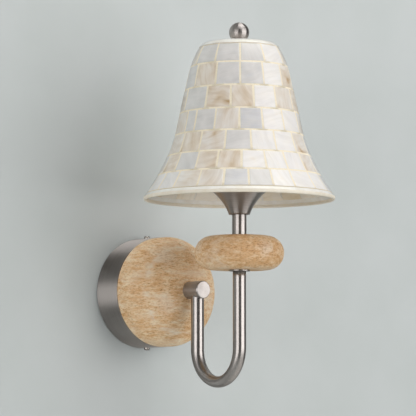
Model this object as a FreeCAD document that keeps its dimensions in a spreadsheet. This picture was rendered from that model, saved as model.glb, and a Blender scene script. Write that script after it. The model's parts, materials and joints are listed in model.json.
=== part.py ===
"""Wall sconce with a bell shade of shell tiles, a U-bent arm, a stone disc and a stone bead.

Lengths are in millimetres.  The wall is the plane y = 0, the sconce stands out towards -Y,
and +Z is up.  The origin is the centre of the wall bracket's back, which is also the axis
of the round drum, the stone disc and the boss.  The lamp's own axis is vertical and lies
lamp_out in front of the wall.
"""
import FreeCAD, Part
import math
import os
import re

from FreeCAD import Placement, Rotation, Vector

import Sketcher

# Driving dimensions: name, value, meaning.
SIZES = (
    ("fit_gap", 0.05, "radial clearance of a screw or thread in its hole"),
    ("turn_gap", 0.2, "axial clearance under a piece that turns"),
    # drum and what is inside it
    ("canopy_dia", 120.0, "drum, outer diameter"),
    ("canopy_depth", 36.0, "drum, from the wall to its front face"),
    ("canopy_wall", 1.2, "drum, sheet thickness"),
    ("canopy_edge", 1.4, "drum, radius of the front edge"),
    ("bracket_thick", 1.6, "wall bracket, sheet thickness"),
    ("bracket_width", 16.0, "wall bracket, width of the strap"),
    ("bracket_disc_dia", 60.0, "wall bracket, round middle"),
    ("supply_hole_dia", 22.0, "wall bracket, hole for the house wiring"),
    ("bracket_gap", 0.9, "between the bracket's tabs and the drum"),
    ("tab_reach", 17.0, "wall bracket, how far the tabs stand out"),
    ("slot_spacing", 76.0, "wall bracket, between the centres of the wall slots"),
    ("slot_width", 4.8, "wall bracket, width of a wall slot"),
    ("slot_length", 16.0, "wall bracket, end to end length of a wall slot"),
    ("side_screw_out", 10.5, "side screws, distance from the wall"),
    ("side_screw_dia", 4.0, "side screws, thread"),
    ("side_screw_length", 8.0, "side screws, below the head"),
    ("side_head_dia", 6.4, "side screws, head diameter"),
    ("side_head_high", 2.8, "side screws, head height"),
    ("side_hole_gap", 0.3, "side screws, radial clearance in the drum"),
    ("driver_slot_width", 1.0, "side screws, width of the slot in the head"),
    ("driver_slot_deep", 1.0, "side screws, depth of the slot in the head"),
    ("small_screw_dia", 3.0, "earth and block screws, thread"),
    ("small_head_dia", 5.6, "earth and block screws, head diameter"),
    ("small_head_high", 2.0, "earth and block screws, head height"),
    ("earth_screw_drop", 20.0, "earth screw, distance below the axis"),
    ("block_width", 24.0, "terminal block, along X"),
    ("block_high", 12.0, "terminal block, along Z"),
    ("block_deep", 15.0, "terminal block, out from the bracket"),
    ("block_rise", 19.5, "terminal block, height of its middle above the axis"),
    ("pole_spacing", 16.0, "terminal block, between the two poles"),
    ("pole_bore", 3.2, "terminal block, wire and screw holes"),
    ("clamp_gap", 0.5, "terminal block, between a clamp screw's tip and its wire hole"),
    # nipple that clamps drum, stone and boss
    ("nipple_dia", 10.0, "threaded tubes, thread"),
    ("nipple_bore", 7.0, "threaded tube behind the boss, bore"),
    ("nipple_tail", 8.0, "threaded tube, length behind the drum's front sheet"),
    ("nut_across", 14.0, "nut, across the flats"),
    ("nut_thick", 4.0, "nut, thickness"),
    ("nut_washer_dia", 24.0, "washer under the nut, diameter"),
    ("nut_washer_thick", 1.0, "washer under the nut, thickness"),
    # stone disc
    ("stone_inset", 0.4, "stone disc, how far its side stands in from the drum's"),
    ("stone_thick", 52.0, "stone disc, from its back to the crown"),
    ("stone_side", 14.5, "stone disc, depth of the straight side"),
    ("stone_shoulder", 14.0, "stone disc, radius of the shoulder"),
    ("stone_back_edge", 1.2, "stone disc, radius of the back edge"),
    ("stone_seat", 0.6, "stone disc, depth of the flat ground on the crown"),
    ("stone_bore", 11.0, "stone disc and bead, bore"),
    # boss and arm
    ("boss_dia", 19.0, "boss, diameter"),
    ("boss_length", 24.2, "boss, length"),
    ("boss_chamfer", 0.8, "boss, front chamfer"),
    ("boss_leg", 13.6, "boss, from its back to the tube's axis"),
    ("boss_thread", 6.4, "boss, depth of the threaded hole in its back"),
    ("boss_thread_end", 0.5, "boss, between the threaded tube's end and the hole's bottom"),
    ("boss_way_dia", 6.0, "boss, way for the lead"),
    ("boss_room", 4.5, "boss, height of the room for the lead's bend above the axis"),
    ("tube_dia", 14.0, "arm tube, outer diameter"),
    ("tube_wall", 1.0, "arm tube, wall"),
    ("bend_radius", 35.75, "arm tube, radius of the bend's centre line"),
    ("bend_drop", 63.0, "arm tube, from the boss's axis down to the bend's centre"),
    ("tube_end_drop", 3.5, "arm tube, its end in the boss, below the boss's axis"),
    ("arm_rise", 16.8, "arm tube, its lamp end, above the boss's axis"),
    ("coupler_length", 12.0, "threaded insert in the tube's lamp end"),
    # lamp stack
    ("bead_washer_dia", 23.0, "washer under the bead, diameter"),
    ("bead_washer_thick", 1.6, "washer under the bead, thickness"),
    ("bead_dia", 94.0, "stone bead, diameter"),
    ("bead_thick", 35.4, "stone bead, thickness"),
    ("sleeve_dia", 15.1, "stem sleeve, diameter"),
    ("sleeve_length", 22.7, "stem sleeve, length"),
    ("cup_foot_dia", 22.0, "trumpet cup, diameter of the foot"),
    ("cup_high", 27.5, "trumpet cup, height"),
    ("cup_flare_radius", 55.0, "trumpet cup, radius of the hollow flare"),
    ("cup_flare_start", 20.0, "trumpet cup, lean of the flare at the foot, degrees"),
    ("cup_wall", 1.0, "trumpet cup, wall"),
    ("stem_bore", 6.5, "threaded stem, bore"),
    ("stem_foot", 1.0, "threaded stem, its foot above the insert's lower end"),
    ("stem_over", 1.3, "threaded stem, what stands above the floor of the holder's base"),
    ("spacer_dia", 14.0, "spacer in the cup, diameter"),
    ("spacer_length", 21.5, "spacer in the cup, length"),
    ("saddle_half", 22.5, "harp saddle, from the axis to a foot of the harp"),
    ("saddle_width", 5.0, "harp saddle, width of the strap"),
    ("saddle_thick", 1.2, "harp saddle, thickness"),
    ("saddle_post", 8.4, "harp saddle, height of the upturned ends above the strap"),
    ("saddle_middle_dia", 18.0, "harp saddle, diameter of its round middle"),
    ("harp_wire", 3.2, "harp, wire diameter"),
    ("harp_half", 37.5, "harp, half width beside the bulb"),
    ("harp_foot_run", 10.0, "harp, straight foot"),
    ("harp_spread", 40.0, "harp, height of the outward sweep"),
    ("harp_corner", 24.0, "harp, radius of the top corners"),
    ("harp_high", 141.4, "harp, from its feet to the top wire's axis"),
    ("ferrule_dia", 7.4, "harp ferrules, diameter"),
    ("ferrule_bore", 5.6, "harp ferrules, bore"),
    ("ferrule_length", 14.0, "harp ferrules, length"),
    ("hub_dia", 12.0, "harp hub, diameter"),
    ("hub_half", 4.0, "harp hub, from the wire's axis to its top and to its bottom"),
    ("hub_flange_dia", 22.0, "harp hub, diameter of the flange that carries the shade"),
    ("hub_flange_thick", 1.4, "harp hub, thickness of the flange"),
    ("stud_dia", 6.35, "harp hub, threaded stud"),
    ("stud_length", 14.4, "harp hub, stud above the flange"),
    ("pad_thick", 1.0, "soft pad under the shade, thickness"),
    # lamp holder
    ("holder_dia", 34.0, "lamp holder, ceramic body diameter"),
    ("holder_cap_dia", 30.0, "lamp holder, metal base diameter"),
    ("holder_cap_high", 8.0, "lamp holder, metal base height"),
    ("holder_cap_floor", 2.5, "lamp holder, floor of the metal base"),
    ("holder_cap_wall", 1.2, "lamp holder, wall of the metal base"),
    ("holder_high", 34.0, "lamp holder, ceramic body height"),
    ("holder_floor", 4.0, "lamp holder, floor of the ceramic body"),
    ("holder_wire_hole", 4.0, "lamp holder, diameter of the hole in the ceramic floor"),
    ("holder_edge", 1.5, "lamp holder, radius of the ceramic body's upper edge"),
    ("shell_wall", 0.5, "lamp holder, wall of the screw shell"),
    ("shell_high", 27.0, "lamp holder, height of the screw shell"),
    ("contact_high", 3.0, "lamp holder, height of the centre contact"),
    ("contact_leaf", 0.6, "centre contact, sheet thickness"),
    ("contact_width", 4.0, "centre contact, width of the leaf"),
    ("contact_foot", 9.0, "centre contact, reach of the foot"),
    ("contact_heel", 1.0, "centre contact, where the foot turns upwards"),
    ("contact_reach", 5.0, "centre contact, half length of the raised end"),
    ("contact_fold", 1.4, "centre contact, level thickness of the slanting part"),
    # bulb
    ("bulb_cap_dia", 26.4, "bulb, screw cap"),
    ("bulb_cap_high", 22.0, "bulb, height of the screw cap"),
    ("bulb_cap_wall", 0.6, "bulb, wall of the screw cap"),
    ("bulb_base_high", 4.5, "bulb, from the contact's face to the screw cap"),
    ("bulb_contact_dia", 9.5, "bulb, centre contact"),
    ("bulb_contact_thick", 1.3, "bulb, centre contact"),
    ("bulb_dia", 60.0, "bulb, widest diameter"),
    ("bulb_neck_dia", 25.0, "bulb, neck"),
    ("bulb_neck_high", 4.0, "bulb, straight neck above the screw cap"),
    ("insulator_inset", 1.0, "bulb, from the cap's edge in to the insulator"),
    ("bulb_length", 107.0, "bulb, overall length"),
    # shade
    ("shade_high", 167.0, "shade, overall height"),
    ("shade_wall", 2.0, "shade, wall behind the tiles"),
    ("shade_top_thick", 3.0, "shade, flat top"),
    ("shade_hole_dia", 7.2, "shade, hole for the stud"),
    ("shoulder_high", 5.3, "shade, from the top down to the first row"),
    ("shoulder_width", 10.0, "shade, width of the rounded shoulder"),
    ("bell_top_radius", 47.9, "bell, radius of its straight taper at the first row's upper edge"),
    ("bell_taper", 0.217, "bell, growth of the radius per unit of height, before the flare"),
    ("rounding_high", 30.0, "bell, height of the rounding below the first row's upper edge"),
    ("rounding_inset", 5.4, "bell, what the rounding takes off the radius at that edge"),
    ("flare_high", 76.0, "bell, height of the flare above the mouth"),
    ("flare_spread", 20.2, "bell, what the flare adds to the radius at the mouth"),
    ("tile_thick", 1.0, "tiles, thickness"),
    ("joint_width", 1.6, "tiles, width of the joints"),
    ("row_high_1", 21.0, "row 1, height"),
    ("row_high_2", 25.0, "row 2, height"),
    ("row_high_3", 24.5, "row 3, height"),
    ("row_high_4", 23.5, "row 4, height"),
    ("row_high_5", 22.0, "row 5, height"),
    ("row_high_6", 20.0, "row 6, height"),
    ("row_high_7", 19.0, "row 7, height"),
    ("row_count_1", 12, "row 1, number of tiles"),
    ("row_count_2", 14, "row 2, number of tiles"),
    ("row_count_3", 15, "row 3, number of tiles"),
    ("row_count_4", 16, "row 4, number of tiles"),
    ("row_count_5", 17, "row 5, number of tiles"),
    ("row_count_6", 21, "row 6, number of tiles"),
    ("row_count_7", 23, "row 7, number of tiles"),
    ("row_start_1", 23.0, "row 1, angle of its first joint, degrees"),
    ("row_start_2", 25.5, "row 2, angle of its first joint, degrees"),
    ("row_start_3", 6.6, "row 3, angle of its first joint, degrees"),
    ("row_start_4", 6.7, "row 4, angle of its first joint, degrees"),
    ("row_start_5", 7.8, "row 5, angle of its first joint, degrees"),
    ("row_start_6", 9.8, "row 6, angle of its first joint, degrees"),
    ("row_start_7", 1.5, "row 7, angle of its first joint, degrees"),
    ("edging_high", 3.4, "cream edging, height of its outer face"),
    # finial
    ("finial_washer_dia", 18.0, "washer under the finial, diameter"),
    ("finial_washer_thick", 1.0, "washer under the finial, thickness"),
    ("ball_dia", 21.6, "ball finial, diameter"),
    ("ball_sink", 0.7, "ball finial, what its flat foot takes off the ball"),
    ("finial_thread", 11.0, "ball finial, depth of the threaded hole"),
    # inner lead
    ("lead_dia", 4.0, "lead, diameter"),
    ("lead_entry_bend", 6.5, "lead, bend radius behind the threaded tube"),
    ("lead_boss_bend", 4.6, "lead, bend radius inside the boss"),
    ("lead_over", 3.0, "lead, what stands above the floor of the holder's base"),
)

TILE_ROWS = 7

# Places worked out from the sizes: name and formula.
PLACES = (
    ("canopy_inner_radius", "canopy_dia / 2 - canopy_wall"),
    ("tab_face", "canopy_inner_radius - bracket_gap"),
    ("stone_dia", "canopy_dia - 2 * stone_inset"),
    ("crown_rise", "stone_thick - stone_side"),
    ("crown_reach", "stone_dia / 2 - stone_shoulder"),
    ("crown_radius",
     "(crown_reach ^ 2 + crown_rise ^ 2 - stone_shoulder ^ 2) / 2 / (crown_rise - stone_shoulder)"),
    ("crown_scale", "crown_radius / (crown_radius - stone_shoulder)"),
    ("crown_centre_out", "canopy_depth + stone_thick - crown_radius"),
    ("shoulder_end_radius", "crown_reach * crown_scale"),
    ("shoulder_end_out",
     "crown_centre_out + (canopy_depth + stone_side - crown_centre_out) * crown_scale"),
    ("stone_seat_radius", "sqrt(crown_radius ^ 2 - (crown_radius - stone_seat) ^ 2)"),
    ("boss_back_out", "canopy_depth + stone_thick - stone_seat"),
    ("leg_out", "boss_back_out + boss_leg"),
    ("lamp_out", "leg_out + 2 * bend_radius"),
    ("bead_level", "arm_rise + bead_washer_thick"),
    ("sleeve_level", "bead_level + bead_thick"),
    ("cup_level", "sleeve_level + sleeve_length"),
    ("spacer_level", "cup_level + cup_wall"),
    ("saddle_level", "spacer_level + spacer_length"),
    ("holder_level", "saddle_level + saddle_thick"),
    ("holder_body_level", "holder_level + holder_cap_high"),
    ("holder_well_level", "holder_body_level + holder_floor"),
    ("harp_foot_level", "holder_level + saddle_post + turn_gap"),
    ("harp_top_level", "harp_foot_level + harp_high"),
    ("pad_level", "harp_top_level + hub_half"),
    ("shade_level", "pad_level + pad_thick + turn_gap + shade_top_thick - shade_high"),
    ("finial_level", "shade_level + shade_high + finial_washer_thick + turn_gap"),
    ("bulb_level", "holder_well_level + contact_high + turn_gap"),
    ("cup_flare_end", "asin(sin(cup_flare_start) + cup_high / cup_flare_radius)"),
    ("cup_lip_radius",
     "cup_foot_dia / 2 + cup_flare_radius * (cos(cup_flare_start) - cos(cup_flare_end))"),
    ("sweep_shift", "harp_half - saddle_half"),
    ("sweep_radius", "(sweep_shift ^ 2 + harp_spread ^ 2) / 4 / sweep_shift"),
    ("bulb_centre", "bulb_length - bulb_dia / 2"),
    ("bulb_neck_top", "bulb_base_high + bulb_cap_high + bulb_neck_high"),
    ("bulb_cone_angle",
     "atan(bulb_neck_dia / 2 / (bulb_centre - bulb_neck_top)) + acos(bulb_dia / 2 / "
     "sqrt((bulb_neck_dia / 2) ^ 2 + (bulb_centre - bulb_neck_top) ^ 2))"),
)

DOC = FreeCAD.newDocument("shell_wall_sconce")
NODES = []


def bell_radius_formula(rise):
    """Bell radius at a height above the mouth: straight taper, squared flare and rounding."""
    taper = "bell_top_radius + bell_taper * (row_line_0 - %s)" % rise
    flare = "flare_spread * max(0; 1 - %s / flare_high) ^ 2" % rise
    rounding = "rounding_inset * max(0; 1 - (row_line_0 - %s) / rounding_high) ^ 2" % rise
    return taper + " + " + flare + " - " + rounding


def row_line_places():
    """Height above the mouth and bell radius of each line between the tile rows."""
    places = [("row_line_0", "shade_high - shoulder_high"),
              ("bell_radius_0", bell_radius_formula("row_line_0"))]
    for row in range(1, TILE_ROWS + 1):
        places.append(("row_line_%d" % row, "row_line_%d - row_high_%d" % (row - 1, row)))
        places.append(("bell_radius_%d" % row, bell_radius_formula("row_line_%d" % row)))
    places.append(("edging_radius", bell_radius_formula("edging_high")))
    return places


def make_sheets():
    """Write the driving sizes and the worked-out places into two sheets."""
    sizes = DOC.addObject("Spreadsheet::Sheet", "Sizes")
    for line, (name, number, meaning) in enumerate(SIZES, start=1):
        sizes.set("A%d" % line, meaning)
        sizes.set("B%d" % line, str(number))
        sizes.setAlias("B%d" % line, name)
    DOC.recompute()
    owners = {name: "Sizes" for name, number, meaning in SIZES}
    places = DOC.addObject("Spreadsheet::Sheet", "Places")
    for line, (name, formula) in enumerate(PLACES + tuple(row_line_places()), start=1):
        places.set("A%d" % line, name)
        places.set("B%d" % line, "=" + with_owners(formula, owners, "Places"))
        places.setAlias("B%d" % line, name)
        DOC.recompute()
        owners[name] = "Places"
    return owners


def with_owners(formula, owners, home=None):
    """Put the sheet's name before each size or place in a formula."""
    def owned(match):
        word = match.group(0)
        owner = owners.get(word)
        if owner is None or owner == home:
            return word
        return owner + "." + word
    return re.sub(r"[a-z][a-z_0-9]*", owned, formula)


OWNERS = make_sheets()


def bound(formula):
    """The formula as an expression that refers to the two sheets."""
    return with_owners(str(formula), OWNERS)


def number(formula):
    """The present value of a formula; the sheet of sizes knows its own cells by bare names."""
    result = DOC.Sizes.evalExpression(bound(formula).replace("Sizes.", ""))
    return float(getattr(result, "Value", result))


def bind(feature, prop, formula):
    """Let a formula drive a property."""
    feature.setExpression(prop, bound(formula))


def new_body(label, x="0", y="0", z="0", turn=None):
    """A body of its own node, placed by three formulas and an optional turn about Z."""
    body = DOC.addObject("PartDesign::Body", label)
    body.Label = label
    if turn is not None:
        body.Placement = Placement(Vector(), Rotation(Vector(0, 0, 1), 1.0))
        bind(body, ".Placement.Rotation.Angle", turn)
    for axis, formula in (("x", x), ("y", y), ("z", z)):
        bind(body, ".Placement.Base." + axis, formula)
    NODES.append(body)
    return body


def wall_axis_body(label, out="0"):
    """A body whose own +Z points out of the wall along the drum's axis."""
    body = DOC.addObject("PartDesign::Body", label)
    body.Label = label
    body.Placement = Placement(Vector(), Rotation(Vector(1, 0, 0), 90))
    bind(body, ".Placement.Base.y", "-(%s)" % out)
    NODES.append(body)
    return body


def lamp_axis_body(label, level, turn=None):
    """A body on the lamp's vertical axis at the given level."""
    return new_body(label, y="-lamp_out", z=level, turn=turn)


def new_sketch(body, name, plane, offset=None):
    """A sketch on one of the body's origin planes, lifted off it by an optional formula."""
    sketch = body.newObject("Sketcher::SketchObject", name)
    support = [part for part in body.Origin.OriginFeatures if part.Role == plane]
    sketch.AttachmentSupport = (support[0], [""])
    sketch.MapMode = "FlatFace"
    if offset is not None:
        bind(sketch, ".AttachmentOffset.Base.z", offset)
    return sketch


def arc_centre(start, end, radius, side):
    """Centre of the arc from start to end; side +1 puts it to the left of the way."""
    middle = (start + end) * 0.5
    way = end - start
    half = way.Length / 2
    height = math.sqrt(max(radius * radius - half * half, 0.0))
    left = Vector(-way.y, way.x, 0).normalize()
    return middle + left * height * side


def add_outline(sketch, corners, closed=True):
    """Draw lines and arcs through corners given as formulas, and bind every dimension.

    A corner is (x, y) where a line leaves it, or (x, y, radius, side) where an arc leaves it,
    with its centre to the left (+1) or to the right (-1) of the way.
    """
    points = [Vector(number(corner[0]), number(corner[1]), 0) for corner in corners]
    count = len(corners) if closed else len(corners) - 1
    first = sketch.GeometryCount
    ends = []
    for index in range(count):
        start, end = points[index], points[(index + 1) % len(points)]
        if len(corners[index]) == 2:
            sketch.addGeometry(Part.LineSegment(start, end), False)
            ends.append((1, 2))
            continue
        radius, side = number(corners[index][2]), corners[index][3]
        centre = arc_centre(start, end, radius, side)
        circle = Part.Circle(centre, Vector(0, 0, 1), radius)
        from_point, to_point = (start, end) if side > 0 else (end, start)
        begin = math.atan2(from_point.y - centre.y, from_point.x - centre.x)
        finish = math.atan2(to_point.y - centre.y, to_point.x - centre.x)
        sketch.addGeometry(Part.ArcOfCircle(circle, begin, finish), False)
        ends.append((1, 2) if side > 0 else (2, 1))
    for index in range(count):
        if index + 1 < count or closed:
            after = (index + 1) % count
            sketch.addConstraint(Sketcher.Constraint(
                "Coincident", first + index, ends[index][1], first + after, ends[after][0]))
    for index, corner in enumerate(corners):
        edge, end = (index, ends[index][0]) if index < count else (count - 1, ends[-1][1])
        for kind, formula, value in (("DistanceX", corner[0], points[index].x),
                                     ("DistanceY", corner[1], points[index].y)):
            drive(sketch, Sketcher.Constraint(kind, first + edge, end, value), formula)
        if len(corner) > 2:
            drive(sketch, Sketcher.Constraint("Radius", first + index, number(corner[2])),
                  corner[2])


def drive(sketch, constraint, formula):
    """Add a dimension to the sketch and bind it to a formula."""
    index = sketch.addConstraint(constraint)
    bind(sketch, "Constraints[%d]" % index, formula)


def add_circle(sketch, diameter, x="0", y="0"):
    """A circle with its centre and diameter bound to formulas."""
    centre = Vector(number(x), number(y), 0)
    index = sketch.addGeometry(Part.Circle(centre, Vector(0, 0, 1), number(diameter) / 2), False)
    drive(sketch, Sketcher.Constraint("Diameter", index, number(diameter)), diameter)
    drive(sketch, Sketcher.Constraint("DistanceX", index, 3, centre.x), x)
    drive(sketch, Sketcher.Constraint("DistanceY", index, 3, centre.y), y)


def add_rectangle(sketch, low_x, high_x, low_y, high_y):
    """A rectangle between four formulas."""
    add_outline(sketch, ((low_x, low_y), (high_x, low_y), (high_x, high_y), (low_x, high_y)))


def revolve(body, name, outline, plane="XZ_Plane", angle=None):
    """Turn an outline about the sketch's vertical axis."""
    sketch = new_sketch(body, name + "_outline", plane)
    add_outline(sketch, outline)
    turned = body.newObject("PartDesign::Revolution", name)
    turned.Profile = sketch
    turned.ReferenceAxis = (sketch, ["V_Axis"])
    turned.Angle = 360
    if angle is not None:
        bind(turned, "Angle", angle)
    DOC.recompute()
    return turned


def pad(body, name, sketch, length, reverse=False, both=False):
    """Pad a sketch by a formula's length, to one side or evenly to both."""
    raised = body.newObject("PartDesign::Pad", name)
    raised.Profile = sketch
    raised.Reversed = reverse
    if both:
        raised.SideType = "Symmetric"
    bind(raised, "Length", length)
    DOC.recompute()


def pocket(body, name, sketch, length=None, reverse=False, both=False):
    """Cut a sketch out of the body, through everything where no length is given."""
    before = body.Shape.Volume
    cut = body.newObject("PartDesign::Pocket", name)
    cut.Profile = sketch
    cut.Reversed = reverse
    if both:
        cut.SideType = "Symmetric"
    if length is None:
        cut.Type = "ThroughAll"
    else:
        bind(cut, "Length", length)
    DOC.recompute()
    if cut.Shape.Volume > before - 1e-3:
        raise RuntimeError("%s cuts nothing" % name)
    return cut


def ring(label, body, outer_dia, inner_dia, length):
    """A plain tube or washer along the body's own +Z."""
    sketch = new_sketch(body, label + "_ring", "XY_Plane")
    add_circle(sketch, outer_dia)
    add_circle(sketch, inner_dia)
    pad(body, label + "_pad", sketch, length)


def add_polygon(sketch, across):
    """A hexagon across its flats, about the sketch's origin."""
    corner = "(%s) / 2 / cos(30)" % across
    add_outline(sketch, [("%s * cos(%d)" % (corner, 60 * side), "%s * sin(%d)" % (corner, 60 * side))
                         for side in range(6)])


def thread_hole(dia):
    """Diameter of the hole round a screw or threaded tube."""
    return "%s + 2 * fit_gap" % dia


# ---------------------------------------------------------------- drum and bracket

def make_wall_bracket():
    """Pressed strap with a round middle, wall slots and two tabs for the side screws."""
    body = new_body("wall_bracket")
    plate = new_sketch(body, "bracket_strap", "XZ_Plane")
    add_rectangle(plate, "-bracket_width / 2", "bracket_width / 2", "-tab_face", "tab_face")
    pad(body, "bracket_strap_pad", plate, "bracket_thick")
    middle = new_sketch(body, "bracket_disc", "XZ_Plane")
    add_circle(middle, "bracket_disc_dia")
    pad(body, "bracket_disc_pad", middle, "bracket_thick")
    tabs = new_sketch(body, "bracket_tabs", "XZ_Plane")
    add_rectangle(tabs, "-bracket_width / 2", "bracket_width / 2",
                  "tab_face - bracket_thick", "tab_face")
    add_rectangle(tabs, "-bracket_width / 2", "bracket_width / 2",
                  "-tab_face", "bracket_thick - tab_face")
    pad(body, "bracket_tabs_pad", tabs, "tab_reach")
    openings = new_sketch(body, "bracket_openings", "XZ_Plane")
    add_circle(openings, "supply_hole_dia")
    add_circle(openings, thread_hole("small_screw_dia"), "0", "-earth_screw_drop")
    add_circle(openings, thread_hole("small_screw_dia"), "0", "block_rise")
    for side in ("1", "-1"):
        add_slot(openings, "%s * slot_spacing / 2" % side)
    pocket(body, "bracket_openings_cut", openings, "4 * bracket_thick", both=True)
    screw_holes = new_sketch(body, "bracket_screw_holes", "XY_Plane")
    add_circle(screw_holes, thread_hole("side_screw_dia"), "0", "-side_screw_out")
    pocket(body, "bracket_screw_holes_cut", screw_holes, "canopy_dia", both=True)


def add_slot(sketch, middle):
    """An upright slot with round ends about the given height."""
    half = "slot_width / 2"
    run = "(slot_length - slot_width) / 2"
    add_outline(sketch, (
        (half, "%s - %s" % (middle, run)),
        (half, "%s + %s" % (middle, run), half, 1),
        ("0", "%s + slot_length / 2" % middle, half, 1),
        ("-" + half, "%s + %s" % (middle, run)),
        ("-" + half, "%s - %s" % (middle, run), half, 1),
        ("0", "%s - slot_length / 2" % middle, half, 1)))


def make_canopy_drum():
    """Spun drum: side, rounded front edge and front sheet, open towards the wall."""
    body = wall_axis_body("canopy_drum")
    outer = "canopy_dia / 2"
    edge = "canopy_edge"
    inner_edge = "(canopy_edge - canopy_wall)"
    revolve(body, "drum_turn", (
        ("nipple_dia / 2 + fit_gap", "canopy_depth - canopy_wall"),
        ("canopy_inner_radius - " + inner_edge, "canopy_depth - canopy_wall", inner_edge, -1),
        ("canopy_inner_radius", "canopy_depth - canopy_edge"),
        ("canopy_inner_radius", "0"),
        (outer, "0"),
        (outer, "canopy_depth - " + edge, edge, 1),
        (outer + " - " + edge, "canopy_depth"),
        ("nipple_dia / 2 + fit_gap", "canopy_depth")))
    holes = new_sketch(body, "drum_screw_holes", "XZ_Plane")
    add_circle(holes, "side_screw_dia + 2 * side_hole_gap", "0", "side_screw_out")
    pocket(body, "drum_screw_holes_cut", holes, "2 * canopy_dia", both=True)


def make_canopy_screws():
    """Two dome-headed screws through the drum into the bracket's tabs."""
    body = new_body("canopy_screws", y="-side_screw_out")
    seat = "canopy_dia / 2"
    rim = "%s + side_head_high - side_head_dia / 4" % seat
    dome = "side_head_dia / 4"
    screw = revolve(body, "upper_screw", (
        ("0", seat + " - side_screw_length"),
        ("side_screw_dia / 2", seat + " - side_screw_length"),
        ("side_screw_dia / 2", seat),
        ("side_head_dia / 2", seat),
        ("side_head_dia / 2", rim, dome, 1),
        ("side_head_dia / 4", seat + " + side_head_high"),
        ("0", seat + " + side_head_high")))
    slots = new_sketch(body, "screw_slots", "XZ_Plane")
    top = seat + " + side_head_high"
    add_rectangle(slots, "-driver_slot_width / 2", "driver_slot_width / 2",
                  top + " - driver_slot_deep", top + " + driver_slot_deep")
    slot = pocket(body, "screw_slots_cut", slots, "side_head_dia", both=True)
    lower = body.newObject("PartDesign::PolarPattern", "lower_screw")
    lower.Originals = [screw, slot]
    lower.Axis = (slots, ["N_Axis"])
    lower.Angle = 360
    lower.Occurrences = 2
    body.Tip = lower
    DOC.recompute()


def small_screw(label, level, stand):
    """Pan-headed screw along the wall axis, its head's underside at the given stand."""
    body = new_body(label, y="-(%s)" % stand, z=level)
    head = new_sketch(body, label + "_head", "XZ_Plane")
    add_circle(head, "small_head_dia")
    pad(body, label + "_head_pad", head, "small_head_high")
    shank = new_sketch(body, label + "_shank", "XZ_Plane")
    add_circle(shank, "small_screw_dia")
    pad(body, label + "_shank_pad", shank, stand, reverse=True)


def make_terminal_block():
    """Two-pole block with wire holes, screw wells and a middle hole for its own screw."""
    body = new_body("terminal_block", y="-bracket_thick", z="block_rise")
    base = new_sketch(body, "block_base", "XZ_Plane")
    add_rectangle(base, "-block_width / 2", "block_width / 2", "-block_high / 2", "block_high / 2")
    pad(body, "block_pad", base, "block_deep")
    wires = new_sketch(body, "block_wire_holes", "XY_Plane")
    wells = new_sketch(body, "block_wells", "XZ_Plane", "block_deep")
    for side in ("1", "-1"):
        add_circle(wires, "pole_bore", "%s * pole_spacing / 2" % side, "-block_deep / 2")
        add_circle(wells, thread_hole("pole_bore"), "%s * pole_spacing / 2" % side, "0")
    pocket(body, "block_wire_holes_cut", wires, "2 * block_high", both=True)
    pocket(body, "block_wells_cut", wells, "block_deep / 2")
    middle = new_sketch(body, "block_middle", "XZ_Plane")
    add_circle(middle, thread_hole("small_screw_dia"))
    pocket(body, "block_middle_cut", middle, reverse=True)


def make_terminal_screws():
    """The two clamp screws in the wells of the block."""
    body = new_body("terminal_screws", y="-bracket_thick - block_deep", z="block_rise")
    sketch = new_sketch(body, "terminal_screw_rounds", "XZ_Plane")
    for side in ("1", "-1"):
        add_circle(sketch, "pole_bore", "%s * pole_spacing / 2" % side, "0")
    pad(body, "terminal_screws_pad", sketch, "block_deep / 2 - pole_bore / 2 - clamp_gap", reverse=True)


def make_centre_nipple():
    """Threaded tube from behind the drum's front sheet into the boss."""
    start = "canopy_depth - canopy_wall - nipple_tail"
    body = wall_axis_body("centre_nipple", start)
    ring("centre_nipple", body, "nipple_dia", "nipple_bore",
         "boss_back_out + boss_thread - boss_thread_end - (%s)" % start)


def make_canopy_washer():
    """Plain washer between the drum's front sheet and the nut."""
    body = wall_axis_body("canopy_washer", "canopy_depth - canopy_wall - nut_washer_thick")
    ring("canopy_washer", body, "nut_washer_dia", thread_hole("nipple_dia"), "nut_washer_thick")


def make_canopy_nut():
    """Hexagon nut on the threaded tube."""
    body = wall_axis_body("canopy_nut",
                          "canopy_depth - canopy_wall - nut_washer_thick - nut_thick")
    sketch = new_sketch(body, "nut_outline", "XY_Plane")
    add_polygon(sketch, "nut_across")
    add_circle(sketch, thread_hole("nipple_dia"))
    pad(body, "nut_pad", sketch, "nut_thick")


def make_stone_disc():
    """Domed stone: straight side, rounded shoulder, crowned front and a ground seat."""
    body = wall_axis_body("stone_disc")
    side = "stone_dia / 2"
    revolve(body, "stone_turn", (
        ("stone_bore / 2", "canopy_depth"),
        (side + " - stone_back_edge", "canopy_depth", "stone_back_edge", 1),
        (side, "canopy_depth + stone_back_edge"),
        (side, "canopy_depth + stone_side", "stone_shoulder", 1),
        ("shoulder_end_radius", "shoulder_end_out", "crown_radius", 1),
        ("stone_seat_radius", "boss_back_out"),
        ("stone_bore / 2", "boss_back_out")))


# ---------------------------------------------------------------- boss and arm

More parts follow.
